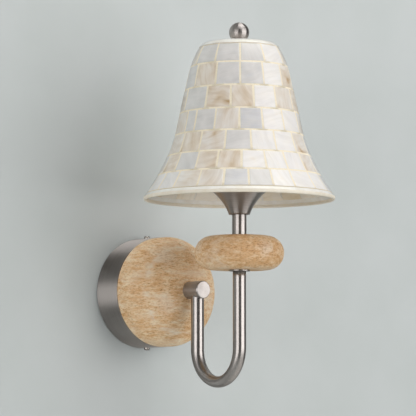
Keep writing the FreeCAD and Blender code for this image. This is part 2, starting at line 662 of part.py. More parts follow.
def make_arm_boss():
    """Turned boss: thread from behind, socket for the tube from below, way for the lead."""
    body = wall_axis_body("arm_boss", "boss_back_out")
    revolve(body, "boss_turn", (
        ("0", "0"),
        ("boss_dia / 2", "0"),
        ("boss_dia / 2", "boss_length - boss_chamfer"),
        ("boss_dia / 2 - boss_chamfer", "boss_length"),
        ("0", "boss_length")))
    thread = new_sketch(body, "boss_thread_hole", "XY_Plane")
    add_circle(thread, thread_hole("nipple_dia"))
    pocket(body, "boss_thread_cut", thread, "boss_thread", reverse=True)
    channel = new_sketch(body, "boss_channel", "XY_Plane")
    add_circle(channel, "boss_way_dia")
    pocket(body, "boss_channel_cut", channel, "boss_leg", reverse=True)
    socket = new_sketch(body, "boss_socket", "XZ_Plane", "tube_end_drop")
    add_circle(socket, thread_hole("tube_dia"), "0", "boss_leg")
    pocket(body, "boss_socket_cut", socket, reverse=True)
    room = new_sketch(body, "boss_room_round", "XZ_Plane", "-boss_room")
    add_circle(room, "tube_dia - 2 * tube_wall", "0", "boss_leg")
    pocket(body, "boss_room_cut", room, "boss_room + tube_end_drop", reverse=True)


def make_u_arm():
    """Bent tube: short leg down from the boss, half turn, long leg up to the lamp."""
    body = new_body("u_arm", y="-leg_out", z="-tube_end_drop")
    section = new_sketch(body, "tube_section", "XY_Plane")
    add_circle(section, "tube_dia")
    add_circle(section, "tube_dia - 2 * tube_wall")
    way = new_sketch(body, "tube_way", "YZ_Plane")
    bend = "tube_end_drop - bend_drop"
    add_outline(way, (
        ("0", "0"),
        ("0", bend, "bend_radius", -1),
        ("-bend_radius", bend + " - bend_radius", "bend_radius", -1),
        ("-2 * bend_radius", bend),
        ("-2 * bend_radius", "tube_end_drop + arm_rise")), closed=False)
    pipe(body, "tube_pipe", section, way)


def pipe(body, name, section, way):
    """Sweep a section along a way."""
    swept = body.newObject("PartDesign::AdditivePipe", name)
    swept.Profile = section
    swept.Spine = (way, [])
    DOC.recompute()


def make_arm_coupler():
    """Threaded insert brazed into the lamp end of the tube."""
    body = lamp_axis_body("arm_coupler", "arm_rise - coupler_length")
    ring("arm_coupler", body, "tube_dia - 2 * tube_wall - 2 * fit_gap",
         thread_hole("nipple_dia"), "coupler_length")


# ---------------------------------------------------------------- lamp stack

def make_bead_washer():
    """Flat washer between the tube's end and the bead."""
    body = lamp_axis_body("bead_washer", "arm_rise")
    ring("bead_washer", body, "bead_washer_dia", thread_hole("nipple_dia"), "bead_washer_thick")


def make_stone_bead():
    """Stone ring with flat ends and a full-round side."""
    body = lamp_axis_body("stone_bead", "bead_level")
    flat = "bead_dia / 2 - bead_thick / 2"
    revolve(body, "bead_turn", (
        ("stone_bore / 2", "0"),
        (flat, "0", "bead_thick / 2", 1),
        ("bead_dia / 2", "bead_thick / 2", "bead_thick / 2", 1),
        (flat, "bead_thick"),
        ("stone_bore / 2", "bead_thick")))


def make_stem_sleeve():
    """Plain sleeve between the bead and the cup."""
    body = lamp_axis_body("stem_sleeve", "sleeve_level")
    ring("stem_sleeve", body, "sleeve_dia", thread_hole("nipple_dia"), "sleeve_length")


def make_stem_nipple():
    """Threaded tube that clamps the lamp stack, from the insert up into the holder's base."""
    start = "arm_rise - coupler_length + stem_foot"
    body = lamp_axis_body("stem_nipple", start)
    ring("stem_nipple", body, "nipple_dia", "stem_bore",
         "holder_level + holder_cap_floor + stem_over - (%s)" % start)


def make_trumpet_cup():
    """Spun cup: flat foot with a hole and one hollow flare up to a thin lip."""
    body = lamp_axis_body("trumpet_cup", "cup_level")
    foot = "cup_foot_dia / 2"
    inner_rise = "cup_wall"
    inner_start = "asin(sin(cup_flare_start) + cup_wall / cup_flare_radius)"
    inner_foot = ("%s - cup_wall / cos(cup_flare_start) + cup_flare_radius * "
                  "(cos(cup_flare_start) - cos(%s))" % (foot, inner_start))
    revolve(body, "cup_turn", (
        ("nipple_dia / 2 + fit_gap", "0"),
        (foot, "0", "cup_flare_radius", -1),
        ("cup_lip_radius", "cup_high"),
        ("cup_lip_radius - cup_wall / cos(cup_flare_end)", "cup_high",
         "cup_flare_radius + cup_wall", 1),
        (inner_foot, inner_rise),
        ("nipple_dia / 2 + fit_gap", inner_rise)))


def make_cup_spacer():
    """Tube inside the cup that carries the saddle."""
    body = lamp_axis_body("cup_spacer", "spacer_level")
    ring("cup_spacer", body, "spacer_dia", thread_hole("nipple_dia"), "spacer_length")


def make_harp_saddle():
    """Strap with two upturned ends that the harp's feet stand on."""
    body = lamp_axis_body("harp_saddle", "saddle_level")
    side = "saddle_half + saddle_thick / 2"
    inside = "saddle_half - saddle_thick / 2"
    top = "saddle_thick + saddle_post"
    profile = new_sketch(body, "saddle_profile", "XZ_Plane")
    add_outline(profile, (
        ("-(%s)" % side, "0"), (side, "0"), (side, top), (inside, top),
        (inside, "saddle_thick"), ("-(%s)" % inside, "saddle_thick"),
        ("-(%s)" % inside, top), ("-(%s)" % side, top)))
    pad(body, "saddle_strap", profile, "saddle_width", both=True)
    middle = new_sketch(body, "saddle_middle", "XY_Plane")
    add_circle(middle, "saddle_middle_dia")
    pad(body, "saddle_middle_pad", middle, "saddle_thick")
    hole = new_sketch(body, "saddle_hole", "XY_Plane")
    add_circle(hole, thread_hole("nipple_dia"))
    pocket(body, "saddle_hole_cut", hole, "4 * saddle_thick", both=True)


def harp_way():
    """Way of the harp's wire: foot, outward sweep, upright side, corner and top, mirrored."""
    middle = "(saddle_half + harp_half) / 2"
    rise = [
        ("saddle_half", "0"),
        ("saddle_half", "harp_foot_run", "sweep_radius", -1),
        (middle, "harp_foot_run + harp_spread / 2", "sweep_radius", 1),
        ("harp_half", "harp_foot_run + harp_spread"),
        ("harp_half", "harp_high - harp_corner", "harp_corner", 1),
        ("harp_half - harp_corner", "harp_high")]
    # going back down, each corner is left by the arc that reached it on the way up
    arcs = [()] + [corner[2:] for corner in rise[:-1]]
    fall = [("-(%s)" % corner[0], corner[1]) + arc for corner, arc in zip(rise, arcs)]
    return rise + fall[::-1]


def make_harp():
    """One bent wire round the bulb, from foot to foot."""
    body = lamp_axis_body("harp", "harp_foot_level")
    section = new_sketch(body, "wire_section", "XY_Plane")
    add_circle(section, "harp_wire", "saddle_half", "0")
    way = new_sketch(body, "wire_way", "XZ_Plane")
    add_outline(way, harp_way(), closed=False)
    pipe(body, "wire_pipe", section, way)


def make_harp_ferrules():
    """Two sleeves that lock the harp's feet to the saddle's ends."""
    body = lamp_axis_body("harp_ferrules", "holder_level + saddle_post / 3")
    sketch = new_sketch(body, "ferrule_rings", "XY_Plane")
    for side in ("1", "-1"):
        add_circle(sketch, "ferrule_dia", side + " * saddle_half", "0")
        add_circle(sketch, "ferrule_bore", side + " * saddle_half", "0")
    pad(body, "ferrules_pad", sketch, "ferrule_length")


def make_harp_hub():
    """Swaged hub on the top wire with a flange for the shade and a threaded stud."""
    body = lamp_axis_body("harp_hub", "harp_top_level")
    flange = "hub_half - hub_flange_thick"
    revolve(body, "hub_turn", (
        ("0", "-hub_half"),
        ("hub_dia / 2", "-hub_half"),
        ("hub_dia / 2", flange),
        ("hub_flange_dia / 2", flange),
        ("hub_flange_dia / 2", "hub_half"),
        ("stud_dia / 2", "hub_half"),
        ("stud_dia / 2", "hub_half + stud_length"),
        ("0", "hub_half + stud_length")))
    hole = new_sketch(body, "hub_wire_hole", "YZ_Plane")
    add_circle(hole, thread_hole("harp_wire"))
    pocket(body, "hub_wire_hole_cut", hole, "2 * hub_flange_dia", both=True)


def make_shade_pad():
    """Soft washer between the hub's flange and the shade."""
    body = lamp_axis_body("shade_pad", "pad_level")
    ring("shade_pad", body, "hub_flange_dia", "shade_hole_dia", "pad_thick")


# ---------------------------------------------------------------- lamp holder and bulb

def make_holder_cap():
    """Metal base of the holder, a shallow cup screwed onto the stem."""
    body = lamp_axis_body("holder_cap", "holder_level")
    wall = "holder_cap_dia / 2 - holder_cap_wall"
    revolve(body, "holder_cap_turn", (
        ("nipple_dia / 2 + fit_gap", "0"),
        ("holder_cap_dia / 2", "0"),
        ("holder_cap_dia / 2", "holder_cap_high"),
        (wall, "holder_cap_high"),
        (wall, "holder_cap_floor"),
        ("nipple_dia / 2 + fit_gap", "holder_cap_floor")))


def make_holder_body():
    """Ceramic body with a floor and a round well for the screw shell."""
    body = lamp_axis_body("holder_body", "holder_body_level")
    well = "bulb_cap_dia / 2 + 2 * fit_gap + shell_wall"
    revolve(body, "holder_body_turn", (
        ("holder_wire_hole / 2", "0"),
        ("holder_cap_dia / 2", "0"),
        ("holder_dia / 2", "(holder_dia - holder_cap_dia) / 2"),
        ("holder_dia / 2", "holder_high - holder_edge", "holder_edge", 1),
        ("holder_dia / 2 - holder_edge", "holder_high"),
        (well, "holder_high"),
        (well, "holder_floor"),
        ("holder_wire_hole / 2", "holder_floor")))


def make_holder_screw_shell():
    """Thin threaded shell that takes the bulb's cap."""
    body = lamp_axis_body("holder_screw_shell", "holder_well_level")
    ring("holder_screw_shell", body, thread_hole("bulb_cap_dia") + " + 2 * shell_wall",
         thread_hole("bulb_cap_dia"), "shell_high")


def make_holder_contact():
    """Centre contact: foot on the well's floor, slanting part, and a raised end under the bulb."""
    body = lamp_axis_body("holder_contact", "holder_well_level")
    lower = "contact_high - contact_leaf"
    slant = "(contact_reach - contact_heel) / (%s)" % lower
    inner_heel = "contact_reach - contact_fold - (contact_high - 2 * contact_leaf) * " + slant
    sketch = new_sketch(body, "contact_profile", "XZ_Plane")
    add_outline(sketch, (
        ("-contact_foot", "0"),
        ("contact_heel", "0"),
        ("contact_reach", lower),
        ("contact_reach", "contact_high"),
        ("-contact_reach", "contact_high"),
        ("-contact_reach", lower),
        ("contact_reach - contact_fold", lower),
        (inner_heel, "contact_leaf"),
        ("-contact_foot", "contact_leaf")))
    pad(body, "contact_pad", sketch, "contact_width", both=True)


def make_bulb_cap():
    """Screw cap of the bulb, open upwards round the neck."""
    body = lamp_axis_body("bulb_cap", "bulb_level + bulb_base_high")
    outer = "bulb_cap_dia / 2"
    revolve(body, "bulb_cap_turn", (
        ("bulb_contact_dia / 2", "0"),
        (outer, "0"),
        (outer, "bulb_cap_high"),
        (outer + " - bulb_cap_wall", "bulb_cap_high"),
        (outer + " - bulb_cap_wall", "bulb_cap_wall"),
        ("bulb_contact_dia / 2", "bulb_cap_wall")))


def make_bulb_insulator():
    """Black insulator between the cap and the centre contact."""
    body = lamp_axis_body("bulb_insulator", "bulb_level + bulb_contact_thick")
    revolve(body, "insulator_turn", (
        ("0", "0"),
        ("bulb_contact_dia / 2", "0"),
        ("bulb_cap_dia / 2 - insulator_inset", "bulb_base_high - bulb_contact_thick"),
        ("0", "bulb_base_high - bulb_contact_thick")))


def make_bulb_contact():
    """Centre contact of the bulb."""
    body = lamp_axis_body("bulb_contact", "bulb_level")
    sketch = new_sketch(body, "contact_round", "XY_Plane")
    add_circle(sketch, "bulb_contact_dia")
    pad(body, "bulb_contact_pad", sketch, "bulb_contact_thick")


def make_bulb_globe():
    """Frosted envelope: neck in the cap, cone and ball."""
    body = lamp_axis_body("bulb_globe", "bulb_level")
    revolve(body, "globe_turn", (
        ("0", "bulb_base_high + bulb_cap_high / 2"),
        ("bulb_neck_dia / 2", "bulb_base_high + bulb_cap_high / 2"),
        ("bulb_neck_dia / 2", "bulb_neck_top"),
        ("bulb_dia / 2 * sin(bulb_cone_angle)", "bulb_centre - bulb_dia / 2 * cos(bulb_cone_angle)",
         "bulb_dia / 2", 1),
        ("bulb_dia / 2", "bulb_centre", "bulb_dia / 2", 1),
        ("0", "bulb_length")))


# ---------------------------------------------------------------- shade

def bell_line(row, inset):
    """Corner of the bell on the line under a row, moved inwards by an inset."""
    return ("bell_radius_%d - %s" % (row, inset), "row_line_%d" % row)


def make_shade_shell():
    """Body of the bell: flat top, rounded shoulder, wall behind the tiles, open mouth."""
    body = lamp_axis_body("shade_shell", "shade_level")
    flat = "bell_radius_0 - shoulder_width"
    top_inside = "shade_high - shade_top_thick"
    shoulder = "(shoulder_width ^ 2 + shoulder_high ^ 2) / 2 / shoulder_high"
    outer = [("shade_hole_dia / 2", "shade_high"),
             (flat, "shade_high", shoulder, -1),
             bell_line(0, "0")]
    outer += [bell_line(row, "tile_thick") for row in range(0, TILE_ROWS + 1)]
    outer.append(("edging_radius - tile_thick", "edging_high"))
    inner = [("edging_radius - tile_thick - shade_wall", "edging_high")]
    inner += [bell_line(row, "tile_thick - shade_wall") for row in range(TILE_ROWS, -1, -1)]
    inner += [(flat + " - shade_wall", top_inside), ("shade_hole_dia / 2", top_inside)]
    revolve(body, "shell_turn", outer + inner)


def make_tile_row(row):
    """One ring of separate tiles, each a short turn of the same slanted section."""
    body = lamp_axis_body("shell_tiles_row_%d" % row, "shade_level", turn="row_start_%d" % row)
    upper, lower = "row_line_%d" % (row - 1), "row_line_%d" % row
    upper_radius, lower_radius = "bell_radius_%d" % (row - 1), "bell_radius_%d" % row
    inset = "joint_width / 2 / row_high_%d * (%s - %s)" % (row, lower_radius, upper_radius)
    high, low = upper + " - joint_width / 2", lower + " + joint_width / 2"
    top, bottom = "%s + %s" % (upper_radius, inset), "%s - %s" % (lower_radius, inset)
    count = "row_count_%d" % row
    joint_angle = "joint_width / (%s + %s) * 360 / pi" % (upper_radius, lower_radius)
    tile = revolve(body, "tile_%d" % row, (
        (bottom + " - tile_thick", low), (bottom, low), (top, high),
        (top + " - tile_thick", high)), angle="360 / %s - %s" % (count, joint_angle))
    tiles = body.newObject("PartDesign::PolarPattern", "tiles_%d" % row)
    tiles.Originals = [tile]
    tiles.Axis = (DOC.getObject("tile_%d_outline" % row), ["V_Axis"])
    tiles.Angle = 360
    bind(tiles, "Occurrences", count)
    body.Tip = tiles
    DOC.recompute()


def make_rim_band():
    """Plain pale ring between the lowest tiles and the edging."""
    body = lamp_axis_body("rim_band", "shade_level")
    revolve(body, "band_turn", (
        ("edging_radius - tile_thick", "edging_high"),
        ("edging_radius", "edging_high"),
        bell_line(TILE_ROWS, "0"),
        bell_line(TILE_ROWS, "tile_thick")))


def make_rim_edging():
    """Rounded cream edge that closes the mouth's rim."""
    body = lamp_axis_body("rim_edging", "shade_level")
    inner = "edging_radius - tile_thick - shade_wall"
    middle = "edging_radius - (tile_thick + shade_wall) / 2"
    round_off = "(tile_thick + shade_wall) / 2"
    revolve(body, "edging_turn", (
        (inner, "edging_high"),
        (inner, round_off, round_off, 1),
        (middle, "0", round_off, 1),
        ("edging_radius", round_off),
        ("edging_radius", "edging_high")))


# ---------------------------------------------------------------- finial and lead

def make_finial_washer():
    """Thin washer on the shade's top."""
    body = lamp_axis_body("finial_washer", "shade_level + shade_high")
    ring("finial_washer", body, "finial_washer_dia", "shade_hole_dia", "finial_washer_thick")


def make_ball_finial():
    """Ball with a flat foot and a blind threaded hole."""
    body = lamp_axis_body("ball_finial", "finial_level")
    radius = "ball_dia / 2"
    centre = "(%s - ball_sink)" % radius
    foot = "sqrt((%s) ^ 2 - %s ^ 2)" % (radius, centre)
    revolve(body, "ball_turn", (
        ("stud_dia / 2 + fit_gap", "0"),
        (foot, "0", radius, 1),
        (radius, centre, radius, 1),
        ("0", "%s + %s" % (centre, radius)),
        ("0", "finial_thread"),
        ("stud_dia / 2 + fit_gap", "finial_thread")))


def make_inner_lead():
    """Round lead from the terminal block through both threaded tubes and the arm."""
    start = "block_rise - block_high / 2 - turn_gap"
    entry = "bracket_thick + block_deep / 2"
    body = new_body("inner_lead")
    section = new_sketch(body, "lead_section", "XY_Plane", start)
    add_circle(section, "lead_dia", "0", "-(%s)" % entry)
    way = new_sketch(body, "lead_way", "YZ_Plane")
    low = "-bend_drop"
    add_outline(way, (
        ("-(%s)" % entry, start),
        ("-(%s)" % entry, "lead_entry_bend", "lead_entry_bend", -1),
        ("-(%s) - lead_entry_bend" % entry, "0"),
        ("lead_boss_bend - leg_out", "0", "lead_boss_bend", 1),
        ("-leg_out", "-lead_boss_bend"),
        ("-leg_out", low, "bend_radius", -1),
        ("-leg_out - bend_radius", low + " - bend_radius", "bend_radius", -1),
        ("-lamp_out", low),
        ("-lamp_out", "holder_level + holder_cap_floor + lead_over")), closed=False)
    pipe(body, "lead_pipe", section, way)


# ---------------------------------------------------------------- assembly

def build():
    """Make every piece."""
    make_wall_bracket()
    small_screw("earth_screw", "-earth_screw_drop", "bracket_thick")
    make_terminal_block()
    small_screw("block_screw", "block_rise", "bracket_thick + block_deep")
    make_terminal_screws()
    make_canopy_drum()
    make_canopy_screws()
    make_centre_nipple()
    make_canopy_washer()
    make_canopy_nut()
    make_stone_disc()
    make_arm_boss()
    make_u_arm()
    make_arm_coupler()
    make_bead_washer()
    make_stone_bead()
    make_stem_sleeve()
    make_stem_nipple()
    make_trumpet_cup()
    make_cup_spacer()
    make_harp_saddle()
    make_harp()
    make_harp_ferrules()
    make_harp_hub()
    make_shade_pad()
    make_holder_cap()
    make_holder_body()
    make_holder_screw_shell()
    make_holder_contact()
    make_bulb_cap()
    make_bulb_insulator()
    make_bulb_contact()
    make_bulb_globe()
    make_shade_shell()
    for row in range(1, TILE_ROWS + 1):
        make_tile_row(row)
    make_rim_band()
    make_rim_edging()
    make_finial_washer()
    make_ball_finial()
    make_inner_lead()


def check_document():
    """Stop if any object failed or any piece is empty or broken."""
    DOC.recompute()
    failed = [item.Name for item in DOC.Objects
              if "Invalid" in item.State or "Error" in item.State]
    broken = [node.Label for node in NODES if node.Shape.isNull() or not node.Shape.isValid()
              or not node.Shape.Solids]
    if failed or broken:
        raise RuntimeError("failed: %s, broken: %s" % (failed, broken))


def write_parts():
    """Write each piece to its own file."""
    os.makedirs("parts", exist_ok=True)
    for node in NODES:
        node.Shape.exportStep(os.path.join("parts", node.Label + ".step"))
        print(node.Label, len(node.Shape.Solids), round(node.Shape.Volume, 1))


build()
check_document()
write_parts()
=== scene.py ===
"""Shell wall sconce: a bell shade of shell tiles over a stone bead, a bent nickel tube and a
stone disc on a nickel drum.

The sconce's sizes are in millimetres and its meshes in metres; patterns and the stage are
in metres.  The wall is the plane y = 0, the sconce stands out towards -Y and +Z is up.  The
drum's axis runs along Y through the origin, and the lamp's axis is vertical, LAMP_OUT in
front of the wall.
"""
import json
import math

import bmesh
import bpy
import numpy as np
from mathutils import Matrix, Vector


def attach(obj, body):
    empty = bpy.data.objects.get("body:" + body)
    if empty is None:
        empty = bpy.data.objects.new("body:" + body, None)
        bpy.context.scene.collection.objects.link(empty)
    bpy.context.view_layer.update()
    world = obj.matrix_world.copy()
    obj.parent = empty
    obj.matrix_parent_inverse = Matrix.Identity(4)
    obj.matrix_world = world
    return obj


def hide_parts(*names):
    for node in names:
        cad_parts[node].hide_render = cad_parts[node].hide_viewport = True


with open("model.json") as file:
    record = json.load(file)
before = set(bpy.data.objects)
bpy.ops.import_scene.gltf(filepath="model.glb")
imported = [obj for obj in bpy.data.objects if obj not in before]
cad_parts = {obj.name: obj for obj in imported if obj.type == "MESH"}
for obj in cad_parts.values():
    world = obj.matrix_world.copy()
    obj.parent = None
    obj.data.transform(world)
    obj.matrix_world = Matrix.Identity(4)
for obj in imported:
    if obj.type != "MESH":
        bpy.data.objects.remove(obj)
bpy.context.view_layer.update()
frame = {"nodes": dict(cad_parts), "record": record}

MM = 0.001

# Canopy: levels count out from the wall, along the drum's axis.
DRUM_RADIUS = 60.0
DRUM_DEEP = 36.0
DRUM_SHEET = 1.2
STONE_RADIUS = 59.6
STONE_THICK = 52.0
STONE_SIDE = 14.5
STONE_SHOULDER = 14.0
STONE_SEAT = 0.6
STONE_HOLE = 5.5
BOSS_RADIUS = 9.5
BOSS_FRONT = 111.6
# radius of the metal pieces' hole for the threaded tubes
TUBE_HOLE = 5.1
# what a piece stands off the one it sits on, so that their faces don't flicker
STAND_OFF = 0.05

# steps round an axis: small pieces, the cup, and the wide pieces
STEPS_SMALL = 96
STEPS_CUP = 144
STEPS_WIDE = 192

# Arm: levels count up from the drum's axis, here and in all that follows.
LAMP_OUT = 172.5
TUBE_RADIUS = 7.0
TUBE_WALL = 1.0
BEND_RADIUS = 35.75
BEND_LEVEL = -63.0
BEND_FLATNESS = 0.145
TUBE_FOOT = -3.5
TUBE_TOP = 16.8

# Lamp stack, from the arm to the shade.
WASHER_RADIUS = 11.5
BEAD_FOOT = 18.4
BEAD_THICK = 35.4
BEAD_RADIUS = 47.0
SLEEVE_RADIUS = 7.55
CUP_FOOT = 76.5
CUP_HIGH = 27.5
CUP_RADIUS = 11.0
CUP_WALL = 1.0
FLARE_RADIUS = 55.0
FLARE_LEAN = 20.0

# Shade: level of the mouth, the lines between the tile rows above it, and the joints.
MOUTH = 91.4
SHADE_HIGH = 167.0
ROW_LINES = np.array([161.7, 140.7, 115.7, 91.2, 67.7, 45.7, 25.7, 6.7])
BELL_TOP_RADIUS = 47.9
BELL_TAPER = 0.217
BELL_FLARE = 20.2
BELL_FLARE_HIGH = 76.0
BELL_ROUNDING = 5.4
BELL_ROUNDING_HIGH = 30.0
SHOULDER_WIDE = 10.0
TOP_THICK = 3.0
STUD_HOLE = 3.6
EDGING_HIGH = 3.4
TILE_THICK = 1.0
SHADE_WALL = 2.0
JOINT = 1.35
# what the tiles' sides stray from their even places
JOINT_WANDER = 0.35
# depths below the tiles' face: the grout's face, the tiles' rim and the cast body
GROUT_DEEP = 0.16
TILE_DEEP = 0.9
BODY_DEEP = 1.6
# the share of their full flatness that the tiles keep on the round bell, and the most that
# their middles then sink
FLATNESS = 0.45
SINK = 0.75
TILE_COUNTS = (12, 14, 15, 16, 17, 21, 23)
# The side of the bell that the photograph shows, and the joints there, in degrees from it.
FACING = -128.24
FRONT_JOINTS = (
    (-61.8, -29.8, 0.4, 30.5, 63.8),
    (-54.8, -26.2, 0.3, 26.2, 51.4),
    (-66.8, -34.9, -8.9, 13.7, 37.5, 63.0),
    (-57.2, -44.4, -22.9, -0.6, 20.5, 42.9, 66.6),
    (-55.6, -34.3, -12.3, 8.8, 30.0, 50.6),
    (-52.4, -32.9, -16.7, 0.9, 18.4, 35.1, 53.0),
    (-44.9, -27.1, -10.5, 5.2, 20.4, 35.3, 53.0),
)
# Which part of a shell the front tiles are cut from: its place from the grey to the tan end,
# its lightness, and the tiles as (row, joint to the left of the tile, counted from the first
# front joint; -1 is the tile before that joint).
TAN = (0.79, 0.97, ((2, 0), (2, 4), (3, 1), (3, 2), (3, 5), (5, 0), (6, -1), (6, 1), (6, 2)))
BEIGE = (0.68, 0.94, ((1, -1), (1, 4), (3, -1), (3, 4), (4, -1), (4, 2), (4, 6), (5, -1), (5, 1),
                      (5, 5), (6, 6), (7, 0), (7, 1)))
GREY = (0.28, 0.89, ((1, 0), (1, 1), (1, 2), (2, -1), (2, 1), (2, 2), (3, 0), (4, 0), (4, 1),
                     (5, 2), (6, 0), (7, 3)))
BLUE = (0.08, 0.95, ((4, 3), (7, 2)))
WHITE = (0.44, 1.0, ((1, 3), (2, 3), (3, 3), (4, 4), (4, 5), (5, 3), (5, 4), (6, 3), (6, 4),
                     (6, 5), (7, 4), (7, 5), (7, 6)))

# Finial: a flat disc on the shade and a ball that screws down onto it.
DISC_RADIUS = 9.0
DISC_THICK = 1.0
BALL_GAP = 0.2
BALL_RADIUS = 10.8
BALL_SINK = 0.7
BALL_HOLE = 3.2
BALL_THREAD = 11.0

# Stage, in metres: half its width, its levels and its front edge; how far behind the plane
# y = 0 its wall and the grey cards of painted shade on it lie; and the radius of the wall
# box's hole.
STAGE_HALF = 4.0
STAGE_FLOOR = -1.4
STAGE_TOP = 3.0
STAGE_FRONT = -5.0
WALL_BACK = 0.001
SHADE_CARD_BACK = 0.0005
BOX_HOLE = 0.057

# names of the CAD nodes that a piece made here stands for
REPLACED = set()
RANDOM = np.random.default_rng(11)


# ------------------------------------------------------------------ surfaces

def grid_faces(rows, columns, close_rows=False):
    """Quads between neighbouring points of a grid, its last row joined to its first if asked."""
    row = np.arange(rows if close_rows else rows - 1)
    column = np.arange(columns - 1)
    row, column = np.meshgrid(row, column, indexing="ij")
    after = (row + 1) % rows
    quads = (row * columns + column, row * columns + column + 1,
             after * columns + column + 1, after * columns + column)
    return np.stack(quads, axis=-1).reshape(-1, 4)


def make_mesh(name, points, faces, uv=None, tones=None):
    """A mesh from points in millimetres, with doubles merged and all faces turned outwards."""
    mesh = bpy.data.meshes.new(name)
    mesh.from_pydata((points.reshape(-1, 3) * MM).tolist(), [], faces)
    if uv is not None:
        corners = np.empty(len(mesh.loops), dtype=np.int32)
        mesh.loops.foreach_get("vertex_index", corners)
        layer = mesh.uv_layers.new(name="surface")
        layer.data.foreach_set("uv", uv.reshape(-1, 2)[corners].astype(np.float32).ravel())
    if tones is not None:
        layer = mesh.attributes.new("shell_tone", "FLOAT_COLOR", "POINT")
        layer.data.foreach_set("color", tones.reshape(-1, 4).astype(np.float32).ravel())
    work = bmesh.new()
    work.from_mesh(mesh)
    bmesh.ops.remove_doubles(work, verts=work.verts, dist=1e-6)
    bmesh.ops.recalc_face_normals(work, faces=work.faces)
    work.to_mesh(mesh)
    work.free()
    mesh.shade_smooth()
    return mesh


def make_piece(name, mesh, material, body, replaced=()):
    """A piece of the sconce that rides on a body and may stand for CAD nodes."""
    piece = bpy.data.objects.new(name, mesh)
    bpy.context.scene.collection.objects.link(piece)
    mesh.materials.append(material)
    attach(piece, body)
    if replaced:
        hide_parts(*replaced)
        REPLACED.update(replaced)


def arc(centre, radius, start, end, steps):
    """Profile points on an arc: centre + radius (cos a, sin a), a from start to end degrees."""
    angle = np.radians(np.linspace(start, end, steps))
    outward, upward = centre[0] + radius * np.cos(angle), centre[1] + radius * np.sin(angle)
    return [(r, h, 0) for r, h in zip(outward, upward)]


def rounded(corners):
    """A closed profile of (radius, height) points from corners (radius, height, fillet).

    A fillet of radius f in a corner whose half angle is w starts f / tan w from the corner,
    and its centre lies f / sin w along the bisector.  Two points close to the ends of every
    long run keep the shading of the run flat.
    """
    points = []
    around = zip(corners[-1:] + corners[:-1], corners, corners[1:] + corners[:1])
    for before, here, after in around:
        corner, fillet = np.array(here[:2]), here[2]
        if fillet == 0:
            points.append(corner)
            continue
        back = np.array(before[:2]) - corner
        ahead = np.array(after[:2]) - corner
        back /= np.linalg.norm(back)
        ahead /= np.linalg.norm(ahead)
        half = math.acos(np.clip(back @ ahead, -1, 1)) / 2
        bisector = (back + ahead) / np.linalg.norm(back + ahead)
        centre = corner + bisector * fillet / math.sin(half)
        share = np.linspace(0, 1, 5)[:, None]
        chord = corner + (back * (1 - share) + ahead * share) * fillet / math.tan(half) - centre
        points.extend(centre + chord / np.linalg.norm(chord, axis=1, keepdims=True) * fillet)
    long_run, hold = 2.5, 0.4
    held = []
    for start, end in zip(points, points[1:] + points[:1]):
        run = np.linalg.norm(end - start)
        held.append(start)
        if run > long_run:
            inset = (end - start) * hold / run
            held.extend((start + inset, end - inset))
    return np.array(held)


def on_lamp_axis(points):
    """Local points, own z upwards, moved to the lamp's axis."""
    return points + np.array([0.0, -LAMP_OUT, 0.0])


def on_wall_axis(points):
    """Local points, own z out of the wall, turned onto the drum's axis: (x, -z, y)."""
    return np.stack([points[..., 0], -points[..., 2], points[..., 1]], axis=-1)


def turned(name, corners, place, steps):
    """A closed profile turned about an axis: (r cos a, r sin a, h), a from 0 to 360 degrees.

    The surface map holds the turn in u and the length along the profile, in metres, in v.
    """
    profile = rounded(corners)
    angle = np.linspace(0, 2 * np.pi, steps + 1)
    radius, height = profile[:, :1], profile[:, 1:]
    local = np.stack([radius * np.cos(angle), radius * np.sin(angle), height + 0 * angle], axis=-1)
    runs = np.linalg.norm(np.diff(profile, axis=0, append=profile[:1]), axis=1)
    length = np.concatenate([[0], np.cumsum(runs)[:-1]]) * MM
    uv = np.stack(np.broadcast_arrays(angle[None, :] / (2 * np.pi), length[:, None]), axis=-1)
    faces = grid_faces(len(profile), steps + 1, close_rows=True).tolist()
    return make_mesh(name, place(local), faces, uv=uv)


def turned_piece(name, node, corners, place, steps, material, body):
    """A turned piece that stands for one CAD node."""
    make_piece(name, turned(name, corners, place, steps), material, body, [node])


# ------------------------------------------------------------------ materials

def linear(code):
    """Linear colour of an sRGB hex code."""
    channels = [int(code[start:start + 2], 16) / 255 for start in (1, 3, 5)]
    return tuple(c / 12.92 if c <= 0.04045 else ((c + 0.055) / 1.055) ** 2.4
                 for c in channels) + (1.0,)


def add(tree, kind, inputs=None, stops=None, out=None, **settings):
    """Add one shader node with its settings, and give each input a value or a link.

    Inputs go by name, or by number where a node has several of one name: 6 and 7 are the
    two colours of a Mix.  Stops are the positions and hex colours of a colour ramp.  The
    answer is the output called out, or else the node's first one that is in use.
    """
    node = tree.nodes.new("ShaderNode" + kind)
    for name, value in settings.items():
        setattr(node, name, value)
    for socket, value in (inputs or {}).items():
        if isinstance(value, bpy.types.NodeSocket):
            tree.links.new(value, node.inputs[socket])
        else:
            node.inputs[socket].default_value = value
    if stops:
        elements = node.color_ramp.elements
        while len(elements) < len(stops):
            elements.new(0.5)
        for element, (position, colour) in zip(elements, stops):
            element.position = position
            element.color = linear(colour)
    return node.outputs[out] if out else next(end for end in node.outputs if end.enabled)


def new_finish(name, values):
    """A material, its node tree and its shader, with the values that are the same all over."""
    material = bpy.data.materials.new(name)
    material.use_nodes = True
    shader = material.node_tree.nodes["Principled BSDF"]
    for socket, value in values.items():
        shader.inputs[socket].default_value = value
    return material, material.node_tree, shader


def feed(tree, shader, outputs):
    """Link outputs to the shader's sockets of the given names."""
    for socket, output in outputs.items():
        tree.links.new(output, shader.inputs[socket])


def off_wall_axis(tree, place):
    """Distance of a point from the drum's axis: the length of (x, 0, z)."""
    flat = add(tree, "Mapping", {"Vector": place, "Scale": (1.0, 0.0, 1.0)})
    return add(tree, "VectorMath", {0: flat}, operation="LENGTH")


